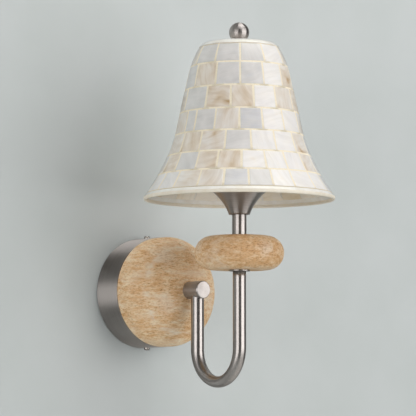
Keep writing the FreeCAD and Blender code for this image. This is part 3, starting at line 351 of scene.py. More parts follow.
def satin_nickel(name, rough, spread):
    """Nickel plate on turned steel and brass, brushed round the axis with an abrasive belt.

    The brushing spreads each reflection along the axis and keeps it narrow across, which
    gives a tube its straight bright strips.  Rough is the middle of the roughness, spread
    how uneven the brushing makes it in its two directions.
    """
    material, tree, shader = new_finish(name, {
        "Metallic": 1.0, "Roughness": rough, "Anisotropic": spread,
        "Anisotropic Rotation": 0.25})
    surface = add(tree, "UVMap", uv_map="surface")
    # the belt leaves scratches about 0.05 mm apart; 0.5 mm is the finest that shows
    across = add(tree, "Mapping", {"Vector": surface, "Scale": (6.0, 2000.0, 1.0)})
    scratch = add(tree, "TexNoise", {
        "Vector": across, "Scale": 1.0, "Detail": 3.0, "Roughness": 0.6})
    place = add(tree, "TexCoord", out="Object")
    patch = add(tree, "TexNoise", {"Vector": place, "Scale": 45.0, "Detail": 2.0})
    colour = add(tree, "ValToRGB", {"Fac": scratch}, stops=((0.25, "#A39C98"), (0.75, "#BDB7B3")))
    gloss = add(tree, "MapRange", {"Value": patch, "To Min": rough - 0.05, "To Max": rough + 0.05})
    bump = add(tree, "Bump", {"Height": scratch, "Strength": 0.012, "Distance": 0.0001})
    tangent = add(tree, "Tangent", direction_type="UV_MAP", uv_map="surface")
    feed(tree, shader, {
        "Base Color": colour, "Roughness": gloss, "Normal": bump, "Tangent": tangent})
    return material


def shoulder_highlight_ring(tree, place, clouds, stone, radius):
    """A painted highlight on the stone: a pale shoulder ring, 4 mm each side, broken by clouds."""
    out = off_wall_axis(tree, place)
    off = add(tree, "Math", {0: out, 1: radius}, operation="SUBTRACT")
    near = add(tree, "Math", {0: off}, operation="ABSOLUTE")
    ring = add(tree, "MapRange", {
        "Value": near, "From Min": 0.0, "From Max": 0.004, "To Min": 0.8, "To Max": 0.0},
        interpolation_type="SMOOTHSTEP")
    broken = add(tree, "MapRange", {"Value": clouds, "From Min": 0.46, "From Max": 0.62})
    amount = add(tree, "Math", {0: ring, 1: broken}, operation="MULTIPLY")
    return add(tree, "Mix", {"Factor": amount, 6: stone, 7: linear("#F3E6D4")}, data_type="RGBA")


def travertine(name, bedding, hues, hazes, highlight_radius=None):
    """Honed travertine, unfilled: tan limestone in thin beds with pale clouds and small pits.

    Bedding is the squeeze of the pattern along X, Y and Z; the beds lie across the largest.
    Hues are the colours of the beds, from the dark to the pale ones.  Hazes are the places
    and radii, in metres, where the stone is chalky and pale.  Highlight radius is the radius in
    metres, about the drum's axis, of a pale ring painted on as the shoulder's highlight.
    """
    material, tree, shader = new_finish(name, {
        "IOR": 1.49, "Specular IOR Level": 0.35, "Diffuse Roughness": 0.4})
    place = add(tree, "TexCoord", out="Object")
    bedded = add(tree, "Mapping", {"Vector": place, "Scale": bedding})
    # clouds 20 to 40 mm across, beds 2 to 5 mm thick
    clouds = add(tree, "TexNoise", {
        "Vector": bedded, "Scale": 30.0, "Detail": 4.0, "Roughness": 0.65, "Distortion": 0.5})
    beds = add(tree, "TexNoise", {
        "Vector": bedded, "Scale": 110.0, "Detail": 5.0, "Roughness": 0.7})
    # flecks about 1 mm thick and 3 mm long where crystals broke out, drawn at twice their size
    flecks = add(tree, "TexNoise", {
        "Vector": bedded, "Scale": 420.0, "Detail": 3.0, "Roughness": 0.75})
    body = add(tree, "ValToRGB", {"Fac": beds}, stops=tuple(zip((0.30, 0.43, 0.57, 0.72), hues)))
    cloud = add(tree, "MapRange", {
        "Value": clouds, "From Min": 0.50, "From Max": 0.72, "To Max": 0.7})
    pale = add(tree, "Mix", {"Factor": cloud, 6: body, 7: linear("#F1E2CE")}, data_type="RGBA")
    # chalky places fade out towards their radius and are frayed by the beds
    for centre, radius in hazes:
        far = add(tree, "VectorMath", {0: place, 1: centre}, operation="DISTANCE")
        fray = add(tree, "Math", {0: beds, 1: -1.6 * radius, 2: far}, operation="MULTIPLY_ADD")
        haze = add(tree, "MapRange", {
            "Value": fray, "From Min": -0.8 * radius, "From Max": 0.2 * radius, "To Min": 0.55,
            "To Max": 0.0}, interpolation_type="SMOOTHSTEP")
        pale = add(tree, "Mix", {"Factor": haze, 6: pale, 7: linear("#F4E5D2")}, data_type="RGBA")
    fleck = add(tree, "ValToRGB", {"Fac": flecks}, stops=(
        (0.36, "#C2A685"), (0.47, "#F3ECE3"), (0.62, "#FFFFFF")))
    # the flecks crowd together between the clouds
    crowd = add(tree, "MapRange", {
        "Value": clouds, "From Min": 0.38, "From Max": 0.62, "To Min": 0.85, "To Max": 0.3})
    flecked = add(tree, "Mix", {
        "Factor": crowd, 6: pale, 7: fleck}, data_type="RGBA", blend_type="MULTIPLY")
    # pits left by plant stems: few, each about a millimetre across; their dark brown is
    # painted shade inside the holes
    stems = add(tree, "TexVoronoi", {"Vector": place, "Scale": 70.0, "Randomness": 1.0})
    rare = add(tree, "TexNoise", {"Vector": place, "Scale": 60.0, "Detail": 1.0})
    reach = add(tree, "MapRange", {
        "Value": rare, "From Min": 0.56, "From Max": 0.74, "To Min": 0.0, "To Max": 0.10})
    pit = add(tree, "Math", {0: stems, 1: reach}, operation="LESS_THAN")
    pit_shaded = add(tree, "Mix", {"Factor": pit, 6: flecked, 7: linear("#7E5A38")}, data_type="RGBA")
    colour = shoulder_highlight_ring(tree, place, clouds, pit_shaded, highlight_radius) if highlight_radius else pit_shaded
    depth = add(tree, "Math", {0: pit, 1: -1.0, 2: flecks}, operation="MULTIPLY_ADD")
    bump = add(tree, "Bump", {"Height": depth, "Strength": 0.3, "Distance": 0.0005})
    rough = add(tree, "MapRange", {"Value": beds, "To Min": 0.62, "To Max": 0.48})
    feed(tree, shader, {"Base Color": colour, "Roughness": rough, "Normal": bump})
    return material


# mother-of-pearl layers, in nanometres, that add a faint play of colour to the lustre
NACRE_FILM = {"Thin Film Thickness": 443.0, "Thin Film IOR": 1.45}


def shell_tile(name, hues):
    """River shell sawn into flat tiles and polished: milky layers with a soft lustre.

    Hues run from the grey to the tan end of the shell.  Each tile carries its own place
    between them in its tone, and its own run of growth lines in its surface map.
    """
    material, tree, shader = new_finish(name, {
        "IOR": 1.56, "Specular IOR Level": 0.4, "Coat Weight": 0.15, "Coat Roughness": 0.2,
        **NACRE_FILM})
    surface = add(tree, "UVMap", uv_map="surface")
    tone = add(tree, "Attribute", attribute_name="shell_tone")
    own_place = add(tree, "SeparateColor", {"Color": tone}, out="Red")
    own_lightness = own_place.node.outputs["Green"]
    # slow bends of the growth lines, 3 mm to each side over 30 mm
    bend = add(tree, "TexNoise", {"Vector": surface, "Scale": 35.0, "Detail": 1.0}, out="Color")
    bent = add(tree, "VectorMath", {
        0: bend, 1: (0.012, 0.012, 0.0), 2: surface}, operation="MULTIPLY_ADD")
    # growth lines 2 to 5 mm apart that run the length of a tile
    drawn = add(tree, "Mapping", {"Vector": bent, "Scale": (30.0, 210.0, 1.0)})
    lines = add(tree, "TexNoise", {"Vector": drawn, "Scale": 1.0, "Detail": 3.0, "Roughness": 0.5})
    # finer lines about 1 mm apart, drawn at 1.5 mm so that they show
    fine = add(tree, "Mapping", {"Vector": bent, "Scale": (60.0, 640.0, 1.0)})
    threads = add(tree, "TexNoise", {
        "Vector": fine, "Scale": 1.0, "Detail": 2.0, "Roughness": 0.5})
    # milky clouds 10 to 15 mm across, and tan skin that the saw left in a corner here and there
    milk = add(tree, "TexNoise", {"Vector": bent, "Scale": 75.0, "Detail": 2.0, "Roughness": 0.4})
    skin = add(tree, "TexNoise", {"Vector": bent, "Scale": 32.0, "Detail": 2.0, "Roughness": 0.6})
    # the tile's place in the shell, shifted by its lines, threads and clouds
    shifted = own_place
    for pattern, share in ((lines, 0.18), (threads, 0.12), (milk, 0.52)):
        shifted = add(tree, "Math", {0: pattern, 1: share, 2: shifted}, operation="MULTIPLY_ADD")
    tan = add(tree, "MapRange", {
        "Value": skin, "From Min": 0.57, "From Max": 0.80, "To Max": 0.30},
        interpolation_type="SMOOTHSTEP")
    stained = add(tree, "Math", {0: shifted, 1: tan}, operation="ADD")
    # the patterns' middle comes off again
    centred = add(tree, "Math", {0: stained, 1: 0.42}, operation="SUBTRACT")
    hue = add(tree, "ValToRGB", {"Fac": centred}, stops=hues)
    veil = add(tree, "ValToRGB", {"Fac": lines}, stops=(
        (0.38, "#FFFFFF"), (0.50, "#F0EEEB"), (0.62, "#D8D5D0")))
    veiled = add(tree, "Mix", {
        "Factor": 0.22, 6: hue, 7: veil}, data_type="RGBA", blend_type="MULTIPLY")
    level = add(tree, "HueSaturation", {"Color": veiled, "Value": own_lightness})
    rough = add(tree, "MapRange", {"Value": milk, "To Min": 0.26, "To Max": 0.5})
    bump = add(tree, "Bump", {"Height": lines, "Strength": 0.12, "Distance": 0.0004})
    feed(tree, shader, {"Base Color": level, "Roughness": rough, "Normal": bump})
    return material


def speckled(name, values, dark, light, scale, relief, rough):
    """A plain finish with a fine mottle between two close colours and a matching roughness.

    Scale is the mottle's count per metre, relief its height in metres, and rough the range
    of the roughness from the dark to the light places.
    """
    material, tree, shader = new_finish(name, values)
    place = add(tree, "TexCoord", out="Object")
    mottle = add(tree, "TexNoise", {
        "Vector": place, "Scale": scale, "Detail": 4.0, "Roughness": 0.6})
    colour = add(tree, "ValToRGB", {"Fac": mottle}, stops=((0.3, dark), (0.7, light)))
    gloss = add(tree, "MapRange", {"Value": mottle, "To Min": rough[0], "To Max": rough[1]})
    bump = add(tree, "Bump", {"Height": mottle, "Strength": 0.2, "Distance": relief})
    feed(tree, shader, {"Base Color": colour, "Roughness": gloss, "Normal": bump})
    return material


NICKEL = satin_nickel("satin_nickel_brushed", 0.30, 0.6)
# the boss is brushed with a coarser belt, the drum with the coarsest
BOSS_NICKEL = satin_nickel("satin_nickel_turned_boss", 0.34, 0.8)
DRUM_NICKEL = satin_nickel("satin_nickel_coarse", 0.46, 0.96)
# the cup and the ball are brushed as they spin, which draws their lights out lengthwise
SPUN_NICKEL = satin_nickel("satin_nickel_spun", 0.35, 0.93)
# both stones are turned with their beds level
# the disc's stone carries a painted highlight: a pale ring along its shoulder
DISC_STONE = travertine("travertine_disc_honed", (0.75, 0.75, 2.6), (
    "#DCAE76", "#EBC496", "#F5DAB4", "#FAEBD4"), (
    ((-0.026, -0.082, -0.016), 0.018), ((0.036, -0.078, -0.010), 0.022),
    ((-0.022, -0.074, 0.036), 0.018)), highlight_radius=0.046)
BEAD_STONE = travertine("travertine_bead_honed", (0.8, 0.8, 2.0), (
    "#CC9B63", "#DFB381", "#ECCAA0", "#F6E2C6"), (
    ((-0.0014, -0.2195, 0.040), 0.013), ((-0.0456, -0.1607, 0.041), 0.012)))
OUTER_SHELL = shell_tile("river_shell_polished", (
    (0.00, "#DAD9DB"), (0.20, "#E8E5E2"), (0.38, "#F4F0ED"), (0.54, "#F8F3ED"),
    (0.72, "#F0E5D8"), (0.88, "#E2CFB7"), (1.00, "#C6A77F")))
# the shell's pale reverse inside the shade, its hues lifted towards white as painted light: they
# stand in for daylight that shines through the thin shell
INNER_SHELL = shell_tile("river_shell_reverse_painted_glow", (
    (0.00, "#FBF1E0"), (0.40, "#FEF6E9"), (0.65, "#F9EAD1"), (0.85, "#EBD4AE"),
    (1.00, "#D3B182")))
# lime and resin grout rubbed flush: cream, chalky, with sandy grains
GROUT = speckled("grout_cream", {"IOR": 1.5}, "#F0E2C4", "#F9EFDB", 700.0, 0.0003, (0.75, 0.9))
# cast polyester resin edge of the shade: pale cream, slightly waxy
RESIN = speckled("cast_resin_cream", {"IOR": 1.54, "Coat Weight": 0.2, "Coat Roughness": 0.35},
                 "#EEE2CC", "#F6EEDF", 120.0, 0.0002, (0.45, 0.6))
# resin filled with ground shell, poured and polished: pearly white with faint clouds
PEARL_RESIN = speckled("cast_resin_pearl", {
    "IOR": 1.54, "Coat Weight": 0.35, "Coat Roughness": 0.25, **NACRE_FILM},
    "#EFE8DE", "#F9F6F1", 90.0, 0.0002, (0.35, 0.5))
# nickel plate on small turned screws and rings: bright, without a run of belt marks
PLAIN_NICKEL = speckled("satin_nickel_turned", {"Metallic": 1.0}, "#A8A098", "#C6BEB6", 240.0,
                        0.0001, (0.24, 0.34))

# finishes of the CAD pieces that keep their own shape, by the record's material slot
CARRIED = {
    # rolled steel with a bright zinc plate: a soft grey crystal mottle
    "zinc_steel": speckled("zinc_plated_steel", {"Metallic": 1.0}, "#A9ABAD", "#C9CBCC", 260.0,
                           0.0001, (0.28, 0.42)),
    # turned brass, unlacquered and slightly dulled
    "brass": speckled("turned_brass_dull", {"Metallic": 1.0}, "#B08D4A", "#D2AE66", 160.0,
                      0.0001, (0.25, 0.4)),
    # drawn steel wire with nickel plating: bright, with faint die marks
    "harp_wire": speckled("nickel_plated_wire", {"Metallic": 1.0}, "#A8A098", "#C9C1B8", 220.0,
                          0.0001, (0.22, 0.35)),
    # moulded polyamide: off-white, half matt
    "white_nylon": speckled("moulded_polyamide", {"IOR": 1.53}, "#DAD8D0", "#E8E6DF", 300.0,
                            0.0001, (0.4, 0.55)),
    # pressed felt-like rubber washer
    "soft_pad": speckled("rubber_washer", {"IOR": 1.5}, "#55514B", "#6B665E", 600.0, 0.0003,
                         (0.7, 0.85)),
    # deep-drawn steel base with a dull plate
    "base_steel": speckled("dull_plated_steel", {"Metallic": 1.0}, "#8F8F8E", "#B3B2B0", 180.0,
                           0.0001, (0.35, 0.5)),
    # fired and glazed porcelain: thick white glaze with faint waves
    "white_porcelain": speckled("glazed_porcelain", {
        "IOR": 1.5, "Coat Weight": 0.8, "Coat Roughness": 0.06}, "#E6E4DE", "#F2F0EA", 90.0,
        0.0002, (0.2, 0.3)),
    # fused black glass round the bulb's contact
    "black_insulator": speckled("black_glass_bead", {"IOR": 1.52}, "#161617", "#26272A", 200.0,
                                0.0001, (0.12, 0.22)),
    # soft tin solder, dull and slightly lumpy
    "tin_contact": speckled("tin_solder", {"Metallic": 1.0}, "#A8A8A4", "#C8C8C4", 140.0,
                            0.0004, (0.35, 0.5)),
    # blown glass with a fine white powder coat inside
    "frosted_glass": speckled("frosted_bulb_glass", {
        "IOR": 1.5, "Coat Weight": 0.5, "Coat Roughness": 0.3}, "#EAE9E5", "#F6F5F1", 60.0,
        0.0001, (0.45, 0.55)),
    # extruded soft vinyl over the conductors
    "lead_sheath": speckled("vinyl_sheath", {"IOR": 1.53}, "#D6D2C8", "#E4E0D6", 400.0, 0.0001,
                            (0.45, 0.6)),
}


# ------------------------------------------------------------------ nickel pieces

def make_drum():
    """Spun drum: outer side, small front radius and front sheet, open at the back."""
    inner, sheet_back = DRUM_RADIUS - DRUM_SHEET, DRUM_DEEP - DRUM_SHEET
    corners = [(TUBE_HOLE, sheet_back, 0.1), (inner, sheet_back, 0.3), (inner, STAND_OFF, 0.2),
               (DRUM_RADIUS, STAND_OFF, 0.3), (DRUM_RADIUS, DRUM_DEEP, 0.6),
               (TUBE_HOLE, DRUM_DEEP, 0.2)]
    turned_piece("canopy_drum_brushed", "canopy_drum", corners, on_wall_axis, STEPS_WIDE,
                 DRUM_NICKEL, "fixture")


def make_boss():
    """Solid turned boss with a narrow front chamfer and a faintly dished end face."""
    back = DRUM_DEEP + STONE_THICK - STONE_SEAT + STAND_OFF
    chamfer, lip, dish = 0.8, 0.5, 0.25
    corners = [(0.0, back, 0), (BOSS_RADIUS, back, 0.2),
               (BOSS_RADIUS, BOSS_FRONT - chamfer, 0.15),
               (BOSS_RADIUS - chamfer, BOSS_FRONT, 0.15),
               (BOSS_RADIUS - chamfer - lip, BOSS_FRONT - 0.1, 0.1), (0.0, BOSS_FRONT - dish, 0)]
    turned_piece("arm_boss_turned", "arm_boss", corners, on_wall_axis, STEPS_SMALL, BOSS_NICKEL,
                 "fixture")


def make_arm():
    """Bent tube carried along its way, with the flattening that the bender leaves.

    The way runs down from the boss, round half a turn and up to the lamp.  A section is an
    ellipse: the half width in the bend's plane is r (1 - flatness sin b), b the angle along
    the bend, and across the plane it stays r.
    """
    fall = np.linspace(TUBE_FOOT, BEND_LEVEL, 12)[:-1]
    bend = np.linspace(0, np.pi, 49)
    rise = np.linspace(BEND_LEVEL, TUBE_TOP, 16)[1:]
    boss_out = LAMP_OUT - 2 * BEND_RADIUS
    out = np.concatenate([np.full(len(fall), boss_out),
                          boss_out + BEND_RADIUS * (1 - np.cos(bend)),
                          np.full(len(rise), LAMP_OUT)])
    level = np.concatenate([fall, BEND_LEVEL - BEND_RADIUS * np.sin(bend), rise])
    angle = np.concatenate([np.zeros(len(fall)), bend, np.full(len(rise), np.pi)])
    # unit vector away from the bend's centre, in the plane of the bend
    away = np.stack([0 * angle, np.cos(angle), -np.sin(angle)], axis=-1)
    way = np.stack([0 * out, -out, level], axis=-1)
    squeeze = 1 - BEND_FLATNESS * np.sin(angle)
    round_angle = np.linspace(0, 2 * np.pi, 49)
    skins = []
    for half in (TUBE_RADIUS, TUBE_RADIUS - TUBE_WALL):
        in_plane = half * squeeze[:, None] * np.cos(round_angle)
        across = half * np.sin(round_angle) + 0 * squeeze[:, None]
        skin = way[:, None] + in_plane[..., None] * away[:, None]
        skin[..., 0] += across
        skins.append(skin)
    points = np.concatenate([skins[0], skins[1][::-1]])
    runs = np.linalg.norm(np.diff(way, axis=0), axis=1)
    length = np.concatenate([[0], np.cumsum(runs)]) * MM
    length = np.concatenate([length, length[::-1]])
    uv = np.stack(np.broadcast_arrays(round_angle / (2 * np.pi), length[:, None]), axis=-1)
    faces = grid_faces(len(points), len(round_angle), close_rows=True).tolist()
    mesh = make_mesh("u_arm_tube", points, faces, uv=uv)
    make_piece("u_arm_tube", mesh, NICKEL, "fixture", ["u_arm"])


def make_washer_and_sleeve():
    """Washer under the bead and sleeve above it, each with its edges broken."""
    foot = TUBE_TOP + STAND_OFF
    washer = [(TUBE_HOLE, foot, 0.1), (WASHER_RADIUS, foot, 0.25),
              (WASHER_RADIUS, BEAD_FOOT, 0.25), (TUBE_HOLE, BEAD_FOOT, 0.1)]
    turned_piece("bead_washer_turned", "bead_washer", washer, on_lamp_axis, STEPS_SMALL, NICKEL,
                 "fixture")
    foot, top = BEAD_FOOT + BEAD_THICK, CUP_FOOT - 0.1
    sleeve = [(TUBE_HOLE, foot, 0.1), (SLEEVE_RADIUS, foot, 0.2), (SLEEVE_RADIUS, top, 0.2),
              (TUBE_HOLE, top, 0.1)]
    turned_piece("stem_sleeve_turned", "stem_sleeve", sleeve, on_lamp_axis, STEPS_SMALL, NICKEL,
                 "fixture")


def make_cup():
    """Trumpet cup: its side is an arc about a centre outside it, from the lean at the foot.

    With a the lean, the side is at the foot's radius + R (cos start - cos a) and rises by
    R (sin a - sin start); the inside is a wall's thickness, over cos a, nearer to the axis.
    """
    start = math.radians(FLARE_LEAN)
    end = math.asin(math.sin(start) + CUP_HIGH / FLARE_RADIUS)
    lean = np.linspace(start, end, 30)
    outer = [(CUP_RADIUS + FLARE_RADIUS * (math.cos(start) - c),
              CUP_FOOT + FLARE_RADIUS * (s - math.sin(start)), 0)
             for c, s in zip(np.cos(lean), np.sin(lean))]
    inner = [(r - CUP_WALL / math.cos(a), h, 0) for (r, h, _), a in zip(outer, lean)]
    # the lip is rounded by one point above the middle of the wall
    lip = [(outer[-1][0] - CUP_WALL / 2, CUP_FOOT + CUP_HIGH + CUP_WALL / 4, 0)]
    floor, floor_radius, bevel = CUP_FOOT + CUP_WALL, 8.5, 0.6
    foot = [(floor_radius, floor, 0), (TUBE_HOLE, floor, 0.1), (TUBE_HOLE, CUP_FOOT, 0.1),
            (CUP_RADIUS - bevel, CUP_FOOT, 0)]
    turned_piece("trumpet_cup_spun", "trumpet_cup", outer + lip + inner[:1:-1] + foot,
                 on_lamp_axis, STEPS_CUP, SPUN_NICKEL, "fixture")


def make_finial():
    """Flat disc on top of the shade and a ball with a flat foot and a blind threaded hole."""
    foot, top = MOUTH + SHADE_HIGH, MOUTH + SHADE_HIGH + DISC_THICK
    disc = [(STUD_HOLE, foot, 0.1), (DISC_RADIUS, foot, 0.25), (DISC_RADIUS, top, 0.3),
            (STUD_HOLE, top, 0.1)]
    turned_piece("finial_washer_turned", "finial_washer", disc, on_lamp_axis, STEPS_SMALL, NICKEL,
                 "shade")
    foot = top + BALL_GAP
    centre = foot + BALL_RADIUS - BALL_SINK
    start = math.degrees(math.asin((foot - centre) / BALL_RADIUS))
    hole_end = foot + BALL_THREAD
    ball = [(BALL_HOLE, foot, 0.1)] + arc((0, centre), BALL_RADIUS, start, 90, 48)[:-1]
    ball += [(0, centre + BALL_RADIUS, 0), (0, hole_end, 0), (BALL_HOLE, hole_end, 0.1)]
    turned_piece("ball_finial_turned", "ball_finial", ball, on_lamp_axis, STEPS_SMALL, SPUN_NICKEL,
                 "finial")


# ------------------------------------------------------------------ stone pieces

def make_disc():
    """Domed disc: a straight side, a tight shoulder and a long crown with a flat ground on it.

    Crown and shoulder touch, so the crown's radius R follows from the shoulder's s, its
    centre's distance d from the axis and the rise h: (d squared + h squared - s squared) /
    (2 (h - s)).
    """
    reach, rise = STONE_RADIUS - STONE_SHOULDER, STONE_THICK - STONE_SIDE
    crown = (reach ** 2 + rise ** 2 - STONE_SHOULDER ** 2) / 2 / (rise - STONE_SHOULDER)
    front, side = DRUM_DEEP + STONE_THICK, DRUM_DEEP + STONE_SIDE
    centre = front - crown
    lean = math.degrees(math.atan2(side - centre, reach))
    seat_radius = math.sqrt(crown ** 2 - (crown - STONE_SEAT) ** 2)
    seat = math.degrees(math.acos(seat_radius / crown))
    corners = [(STONE_HOLE, DRUM_DEEP, 0.2), (STONE_RADIUS, DRUM_DEEP, 1.2)]
    corners += arc((reach, side), STONE_SHOULDER, 0, lean, 16)
    corners += arc((0, centre), crown, lean, seat, 40)[1:]
    corners += [(STONE_HOLE, front - STONE_SEAT, 0.2)]
    turned_piece("stone_disc_honed", "stone_disc", corners, on_wall_axis, STEPS_WIDE, DISC_STONE,
                 "fixture")


def make_bead():
    """Bead: flat top and foot with a full half round for its side."""
    half = BEAD_THICK / 2
    corners = [(STONE_HOLE, BEAD_FOOT, 0.3)]
    corners += arc((BEAD_RADIUS - half, BEAD_FOOT + half), half, -90, 90, 40)
    corners += [(STONE_HOLE, BEAD_FOOT + BEAD_THICK, 0.3)]
    turned_piece("stone_bead_honed", "stone_bead", corners, on_lamp_axis, STEPS_WIDE, BEAD_STONE,
                 "fixture")


# ------------------------------------------------------------------ shade

def bell(height):
    """Radius of the bell at a height h above the mouth, d below the top row's upper edge.

    The top radius and a straight taper t d, plus a flare f max(0, 1 - h / its height)
    squared at the mouth, minus a rounding r max(0, 1 - d / its height) squared at the top.
    """
    below = ROW_LINES[0] - height
    flare = BELL_FLARE * np.maximum(0, 1 - height / BELL_FLARE_HIGH) ** 2
    rounding = BELL_ROUNDING * np.maximum(0, 1 - below / BELL_ROUNDING_HIGH) ** 2
    return BELL_TOP_RADIUS + BELL_TAPER * below + flare - rounding


def joint_angles(row, shift=0.0):
    """Angles of a row's joints in radians: the front ones as they are, the rest spread evenly.

    The rest stray from their even places by up to a twentieth of a tile.
    """
    front = np.array(FRONT_JOINTS[row - 1])
    rest = TILE_COUNTS[row - 1] - len(front) + 1
    spread = np.linspace(front[-1], front[0] + 360, rest + 1)
    step = spread[1] - spread[0]
    spread[1:-1] += RANDOM.uniform(-0.05, 0.05, rest - 1) * step
    return np.radians(FACING + shift + np.concatenate([front, spread[1:]]))


def sag(angle, edges, radius):
    """How far the flattened tiles lie inside the round bell: a share of R (1 - cos w / cos d).

    w is half the tile's angle and d the angle from its middle; the share keeps it shallow.
    """
    tile = np.clip(np.searchsorted(edges, angle, side="right") - 1, 0, len(edges) - 2)
    half = (edges[tile + 1] - edges[tile]) / 2
    middle = (edges[tile + 1] + edges[tile]) / 2
    share = np.minimum(FLATNESS, SINK / radius / (1 - np.cos(half)))
    return share * radius * (1 - np.cos(half) / np.cos(angle - middle))


def growth_map(across, up):
    """Surface map of a row's tiles in metres, turned and started anew on each tile.

    A third of the tiles have their growth lines upright, the others level, all within half
    a radian: (x cos t - y sin t, x sin t + y cos t) and the tile's own start.
    """
    count = len(across)
    turn = RANDOM.uniform(-0.5, 0.5, count) + np.where(RANDOM.random(count) < 0.35, 1.5, 0.0)
    start = RANDOM.uniform(0, 4, (count, 2))
    cos, sin = np.cos(turn)[:, None, None], np.sin(turn)[:, None, None]
    return np.stack([across * cos - up * sin + start[:, :1, None],
                     across * sin + up * cos + start[:, 1:, None]], axis=-1)


def tile_tones(row, shape):
    """Red: the tile's place from the grey to the tan end of a shell; green: its lightness."""
    count = shape[0]
    place = np.clip(RANDOM.normal(0.42, 0.16, count), 0.1, 0.75)
    lightness = RANDOM.uniform(0.94, 1.02, count)
    for kind_place, kind_lightness, tiles in (TAN, BEIGE, GREY, BLUE, WHITE):
        for tile in (tile for in_row, tile in tiles if in_row == row):
            place[tile], lightness[tile] = kind_place, kind_lightness
    tones = np.ones(shape + (4,))
    tones[..., 0] = place[:, None, None]
    tones[..., 1] = lightness[:, None, None]
    return tones


def make_tile_layer(name, row, edges, face, back, material, replaced=()):
    """One row of tiles: a grid on each, its rim rounded over and carried down to the back.

    Face and back are radial offsets from the bell.  The share of the way from face to back
    is the larger of the two rim curves, one across the tile and one up it.
    """
    low, high = ROW_LINES[row] + JOINT / 2, ROW_LINES[row - 1] - JOINT / 2
    radius = bell((low + high) / 2)
    count = len(edges) - 1
    # shares of the tile's width and height at which its grid lines lie, close at the rim
    across = np.array([0, 0, 0.014, 0.05, 0.28, 0.5, 0.72, 0.95, 0.986, 1, 1])
    up = np.array([0, 0, 0.016, 0.06, 0.28, 0.5, 0.72, 0.94, 0.984, 1, 1])
    rim_curve = np.array([1, 0.35, 0.07, 0, 0, 0, 0, 0, 0.07, 0.35, 1])
    rim = np.maximum(rim_curve[None, :], rim_curve[:, None])
    across, up = across[None, None, :], up[None, :, None]
    # each tile's two sides, their lean and the tilt of its level edges stray by themselves
    stray = RANDOM.uniform(-JOINT_WANDER, JOINT_WANDER, (count, 4))[..., None, None]
    joint = JOINT / radius / 2
    left = edges[:-1, None, None]
    start = left + joint + np.abs(stray[:, 0]) / radius
    end = edges[1:, None, None] - joint - np.abs(stray[:, 1]) / radius
    lean = stray[:, 2] / radius * (up - 0.5) * 2
    angle = start + (end - start) * across + lean
    height = low + (high - low) * up + 0 * angle
    height = height + stray[:, 3] * 0.5 * (across - 0.5)
    distance = bell(height) + face + (back - face) * rim[None] - sag(angle, edges, radius)
    points = np.stack([distance * np.cos(angle), distance * np.sin(angle), height + MOUTH],
                      axis=-1)
    uv = growth_map((angle - left) * radius * MM, (height - low) * MM)
    tones = tile_tones(row, angle.shape)
    rows, columns = rim.shape
    first = np.arange(count)[:, None, None] * rows * columns
    index = np.arange(rows * columns).reshape(rows, columns)
    border = np.concatenate([index[0, :-1], index[:-1, -1], index[-1, :0:-1], index[:0:-1, 0]])
    faces = (grid_faces(rows, columns)[None] + first).reshape(-1, 4).tolist()
    faces += (border[None] + first[:, 0]).tolist()
    mesh = make_mesh(name, on_lamp_axis(points), faces, uv=uv, tones=tones)
    make_piece(name, mesh, material, "shade", replaced)


def make_grout(rows_of_edges):
    """Grout between the tiles: a ring that follows the flattened tiles below their face.

    Each row's share of it keeps a hair off the lines, so that neighbouring rows join there.
    """
    angle = np.linspace(0, 2 * np.pi, 721)
    hair = 0.05
    outer = []
    for row, edges in enumerate(rows_of_edges, start=1):
        turned_to = (angle - edges[0]) % (2 * np.pi) + edges[0]
        low, high = ROW_LINES[row] + hair, ROW_LINES[row - 1] - hair
        sunk = sag(turned_to, edges, bell((low + high) / 2))
        outer += [(bell(h) - GROUT_DEEP - sunk, h) for h in np.linspace(high, low, 6)]
    inner = [(bell(h) - BODY_DEEP - 0.1 + 0 * angle, h) for h in ROW_LINES[::-1]]
    rings = outer + inner
    points = np.stack([np.stack([r * np.cos(angle), r * np.sin(angle), h + MOUTH + 0 * angle],
                                axis=-1) for r, h in rings])
    faces = grid_faces(len(rings), len(angle), close_rows=True).tolist()
    mesh = make_mesh("tile_grout", on_lamp_axis(points), faces)
    make_piece("tile_grout", mesh, GROUT, "shade")


def make_body():
    """Cast body under the tiles, with a rounded shoulder and a flat top round the stud."""
    wall = np.linspace(ROW_LINES[0], EDGING_HIGH, 36)
    top = MOUTH + SHADE_HIGH
    shoulder_high = SHADE_HIGH - ROW_LINES[0]
    shoulder = (SHOULDER_WIDE ** 2 + shoulder_high ** 2) / 2 / shoulder_high
    flat = bell(ROW_LINES[0]) - SHOULDER_WIDE
    lean = math.degrees(math.asin(SHOULDER_WIDE / shoulder))
    corners = [(STUD_HOLE, top, 0.2)] + arc((flat, top - shoulder), shoulder, 90, 90 - lean, 16)
    corners += [(bell(h) - BODY_DEEP, h + MOUTH, 0) for h in wall]
    corners += [(bell(h) - TILE_THICK - SHADE_WALL, h + MOUTH, 0) for h in wall[::-1]]
    corners += [(flat - SHADE_WALL, top - TOP_THICK, 0), (STUD_HOLE, top - TOP_THICK, 0.2)]
    turned_piece("shade_body_cast", "shade_shell", corners, on_lamp_axis, STEPS_WIDE, PEARL_RESIN,
                 "shade")


def make_tiles():
    """Seven rows of tiles outside, seven inside with their joints 3 degrees on, and grout."""
    inside = -TILE_THICK - SHADE_WALL
    rows_of_edges = []
    for row in range(1, len(TILE_COUNTS) + 1):
        edges = joint_angles(row)
        rows_of_edges.append(edges)
        make_tile_layer("shell_tiles_outer_%d" % row, row, edges, 0.0, -TILE_DEEP, OUTER_SHELL,
                        ["shell_tiles_row_%d" % row])
        # the inner tiles stand 0.4 mm proud of the body and reach 0.1 mm into it
        make_tile_layer("shell_tiles_inner_%d" % row, row, joint_angles(row, 3.0), inside - 0.4,
                        inside + 0.1, INNER_SHELL)
    make_grout(rows_of_edges)


